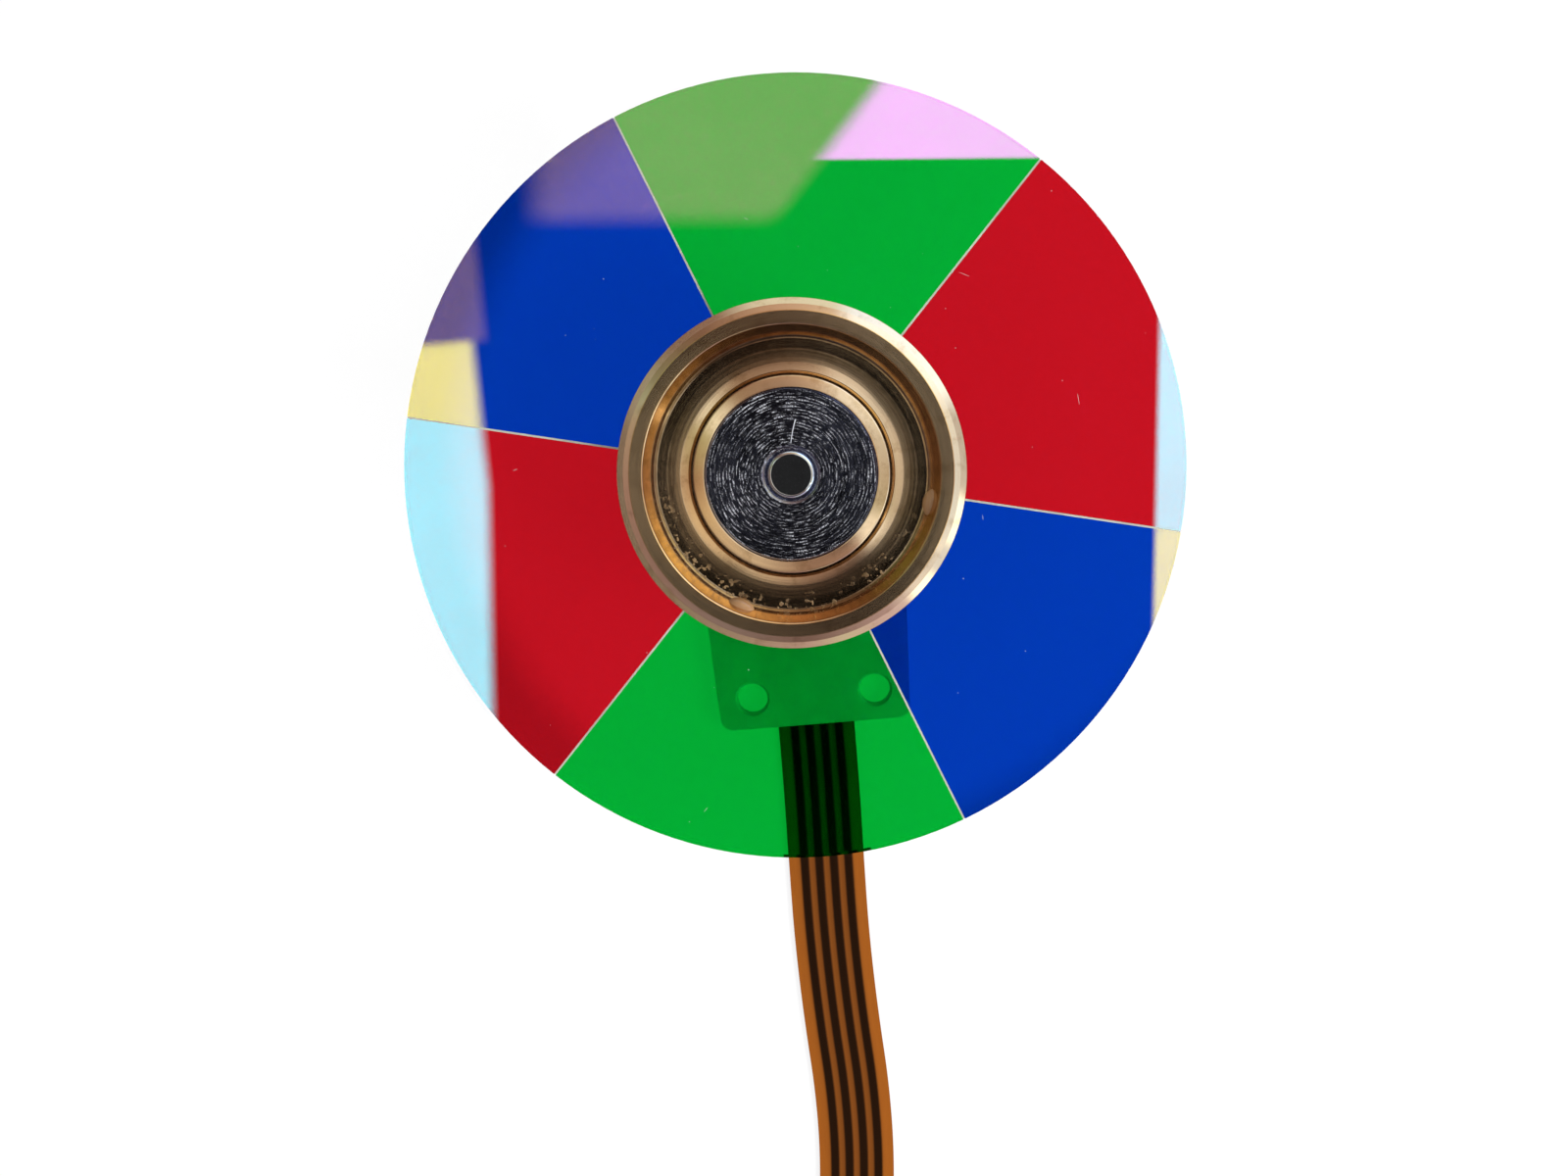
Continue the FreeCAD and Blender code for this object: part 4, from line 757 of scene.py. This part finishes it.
# Edges of the dark card and the warm tone overhead, then tones round the horizon at four heights.
# Each stop is an angle in degrees and a color
surround = {
    "level": 0.75,
    "lowest": 0.02,
    "cardLeft": (-0.243, -0.231),
    "cardRight": (0.2155, 0.2215),
    "cardTop": (0.1965, 0.1995),
    "cardBottom": (-0.34, -0.32),
    "cardTurn": 0.085,
    "cardLean": 0.09,
    "warm": (0.17, 0.105, 0.075),
    "warmLeft": (-0.215, -0.185),
    "warmRight": (-0.177, -0.157),
    "warmBottom": (0.151, 0.169),
    "warmSlope": -0.8,
    "besideRight": (-0.234, -0.222),
    "besideBottom": (0.094, 0.104),
    "strength": 3.0,
    "changes": [(0.3, 0.36), (0.492, 0.512), (0.84, 0.89)],
    "overhead": (0.945, 0.955),
    "horizon": [
        (-180, (0.014, 0.008, 0.008)), (-150, (0.018, 0.011, 0.008)), (-130, (0.06, 0.05, 0.05)),
        (-110, (0.11, 0.09, 0.1)), (-90, (0.19, 0.155, 0.2)), (-78, (0.24, 0.27, 0.26)),
        (-66, (0.25, 0.22, 0.3)), (-54, (0.28, 0.27, 0.36)), (-50, (0.75, 0.9, 1.0)),
        (-43, (0.75, 0.9, 1.0)), (-40, (0.34, 0.42, 0.55)), (-31, (0.34, 0.42, 0.55)),
        (-28, (0.75, 0.9, 1.0)), (-15, (0.7, 0.85, 1.0)), (-10, (0.26, 0.3, 0.36)),
        (14, (0.24, 0.27, 0.32)), (26, (0.56, 0.74, 1.0)), (64, (0.45, 0.62, 0.95)),
        (72, (0.34, 0.42, 0.45)), (98, (0.32, 0.38, 0.4)), (112, (0.09, 0.05, 0.05)),
        (130, (0.06, 0.035, 0.03)), (140, (0.1, 0.12, 0.11)), (152, (0.09, 0.1, 0.1)),
        (162, (0.03, 0.018, 0.015)), (180, (0.014, 0.008, 0.008)),
    ],
    "middle": [
        (-180, (0.17, 0.13, 0.14)), (-150, (0.13, 0.1, 0.12)), (-120, (0.11, 0.1, 0.13)),
        (-90, (0.08, 0.06, 0.07)), (-60, (0.21, 0.18, 0.24)), (-48, (0.4, 0.45, 0.55)),
        (-40, (0.34, 0.4, 0.5)), (-28, (0.37, 0.47, 0.65)), (-15, (0.37, 0.49, 0.66)),
        (-8, (0.36, 0.47, 0.62)), (15, (0.37, 0.48, 0.64)), (28, (0.5, 0.68, 1.0)),
        (64, (0.5, 0.68, 1.0)), (72, (0.27, 0.25, 0.26)), (95, (0.22, 0.17, 0.16)),
        (120, (0.09, 0.06, 0.055)), (140, (0.1, 0.11, 0.09)), (150, (0.17, 0.22, 0.2)),
        (158, (0.19, 0.18, 0.17)), (180, (0.17, 0.13, 0.14)),
    ],
    "above": [
        (-180, (0.05, 0.03, 0.02)), (-135, (0.008, 0.007, 0.009)), (-90, (0.006, 0.005, 0.008)),
        (-62, (0.05, 0.035, 0.02)), (-45, (0.17, 0.13, 0.07)), (-35, (0.2, 0.17, 0.09)),
        (-32, (1.0, 1.0, 0.8)), (-28, (0.22, 0.18, 0.1)), (0, (0.23, 0.17, 0.13)),
        (30, (0.56, 0.53, 0.28)), (62, (0.52, 0.46, 0.28)), (90, (0.24, 0.15, 0.09)),
        (118, (0.08, 0.05, 0.03)), (138, (0.08, 0.1, 0.03)), (160, (0.07, 0.05, 0.02)),
        (180, (0.05, 0.03, 0.02)),
    ],
    "high": [
        (-180, (0.18, 0.125, 0.085)), (-160, (0.32, 0.28, 0.2)), (-120, (0.34, 0.32, 0.29)),
        (-90, (0.15, 0.11, 0.1)), (-56, (0.16, 0.12, 0.12)), (-48, (0.5, 0.55, 0.6)),
        (-38, (0.5, 0.55, 0.6)), (-30, (0.2, 0.22, 0.19)), (-10, (0.22, 0.22, 0.2)),
        (20, (0.28, 0.31, 0.34)), (40, (0.42, 0.48, 0.55)), (60, (0.38, 0.43, 0.5)),
        (72, (0.25, 0.22, 0.21)), (95, (0.16, 0.13, 0.125)), (125, (0.14, 0.11, 0.09)),
        (140, (0.45, 0.5, 0.5)), (148, (0.45, 0.5, 0.5)), (153, (0.22, 0.24, 0.16)),
        (168, (0.2, 0.19, 0.13)), (180, (0.18, 0.125, 0.085)),
    ],
}


# Matt floor that glows, differently for what sees it; nothing from below
def makeFloor(look):
    bm = bmesh.new()
    bmesh.ops.create_grid(bm, x_segments=1, y_segments=1, size=look["size"] / 2,
                          matrix=Matrix.Translation((0, 0, look["level"])))
    floor = finishPiece("floor", bm)
    material, tree = newMaterial("floor")
    matt = addNode(tree, "BsdfDiffuse", {"Color": look["color"]}).outputs[0]
    own = step(tree, turnedPlace(tree)[0], look["near"], look["far"], look["nearGlow"], look["farGlow"])
    direct = multiply(tree, seenBy(tree, "Is Camera Ray"), own)
    mirrored = multiply(tree, seenBy(tree, "Is Glossy Ray", "Is Transmission Ray"), look["glow"])
    scattered = multiply(tree, seenBy(tree, "Is Diffuse Ray"), look["bounce"])
    strength = calc(tree, "MAXIMUM", calc(tree, "MAXIMUM", mirrored, direct), scattered)
    glow = addNode(tree, "Emission", {"Color": (1, 1, 1), "Strength": strength}).outputs[0]
    below = addNode(tree, "NewGeometry").outputs["Backfacing"]
    showShader(tree, mixShaders(tree, below, addShaders(tree, matt, glow), transparent(tree)))
    floor.data.materials.append(material)


def makeLamp(name, look):
    lamp = bpy.data.objects.new(name, bpy.data.lights.new(name, "AREA"))
    lamp.data.size = look["size"]
    lamp.data.energy = look["power"]
    scene.collection.objects.link(lamp)
    lamp.location = look["place"]
    lamp.visible_glossy = False  # metal mirrors the surround only
    lamp.rotation_euler = (-Vector(look["place"])).to_track_quat("-Z", "Y").to_euler()


# Brighter and dimmer directions round the horizon
def makeTones(tree, turned, stops, strength):
    ramp = addNode(tree, "ValToRGB", {"Fac": turned})
    ends = ramp.color_ramp.elements
    for angle, tone in stops[1:-1]:
        ends.new(angle / 360 + 0.5)
    for end, (angle, tone) in zip(ends, stops):
        end.color = (*tone, 1)
    return blendColors(tree, 1.0, ramp.outputs[0], [strength] * 3, "MULTIPLY")


# White all round; metal and the glass's coating mirror the card and the tones instead
def makeSurround(look):
    world = bpy.data.worlds.new("surround")
    scene.world = world
    world.use_nodes = True
    tree = world.node_tree
    tree.nodes.clear()
    heading = addNode(tree, "TexCoord").outputs["Generated"]
    x, y, z = addNode(tree, "SeparateXYZ", {"Vector": heading}).outputs
    # Place on a level plane overhead, turned a little
    safe = calc(tree, "MAXIMUM", z, look["lowest"])
    u = calc(tree, "DIVIDE", x, safe)
    v = calc(tree, "DIVIDE", y, safe)
    turnedU = calc(tree, "SUBTRACT", u, multiply(tree, v, look["cardTurn"]))
    turnedV = add(tree, v, multiply(tree, u, look["cardTurn"]))
    leaning = add(tree, turnedU, multiply(tree, calc(tree, "MAXIMUM", v, 0.0), look["cardLean"]))
    wide = multiply(tree, step(tree, leaning, *look["cardLeft"]), fade(tree, turnedU, *look["cardRight"]))
    deep = multiply(tree, fade(tree, turnedV, *look["cardTop"]), step(tree, turnedV, *look["cardBottom"]))
    card = multiply(tree, wide, deep)
    slant = add(tree, turnedU, multiply(tree, turnedV, look["warmSlope"]))
    upper = multiply(tree, step(tree, turnedV, *look["warmBottom"]), fade(tree, slant, *look["warmRight"]),
                     step(tree, turnedU, *look["warmLeft"]))
    beside = multiply(tree, step(tree, v, *look["besideBottom"]), fade(tree, leaning, *look["besideRight"]))
    overhead = step(tree, z, *look["overhead"])
    toned = multiply(tree, calc(tree, "MAXIMUM", upper, beside), overhead)
    # Overhead the dark card in plain white, lower down the tones by direction and height
    turned = add(tree, calc(tree, "DIVIDE", calc(tree, "ARCTAN2", y, x), 2 * math.pi), 0.5)
    tones = [makeTones(tree, turned, look[height], look["strength"])
             for height in ("horizon", "middle", "above", "high")]
    color = tones[0]
    for tone, change in zip(tones[1:], look["changes"]):
        color = blendColors(tree, step(tree, z, *change), color, tone)
    color = blendColors(tree, overhead, color, (1, 1, 1))
    color = blendColors(tree, card, color, (0, 0, 0))
    color = blendColors(tree, toned, color, look["warm"])
    mirrored = addNode(tree, "Background", {"Color": color, "Strength": 1.0}).outputs[0]
    seen = seenBy(tree, "Is Camera Ray", "Is Transmission Ray")
    strength = step(tree, seen, 0.0, 1.0, look["level"], 1.0)
    plain = addNode(tree, "Background", {"Color": (1, 1, 1), "Strength": strength}).outputs[0]
    showShader(tree, mixShaders(tree, seenBy(tree, "Is Glossy Ray"), plain, mirrored), "OutputWorld")


makeFloor(floorLook)
for name, look in lamps.items():
    makeLamp(name, look)
makeSurround(surround)
print("stage lit")
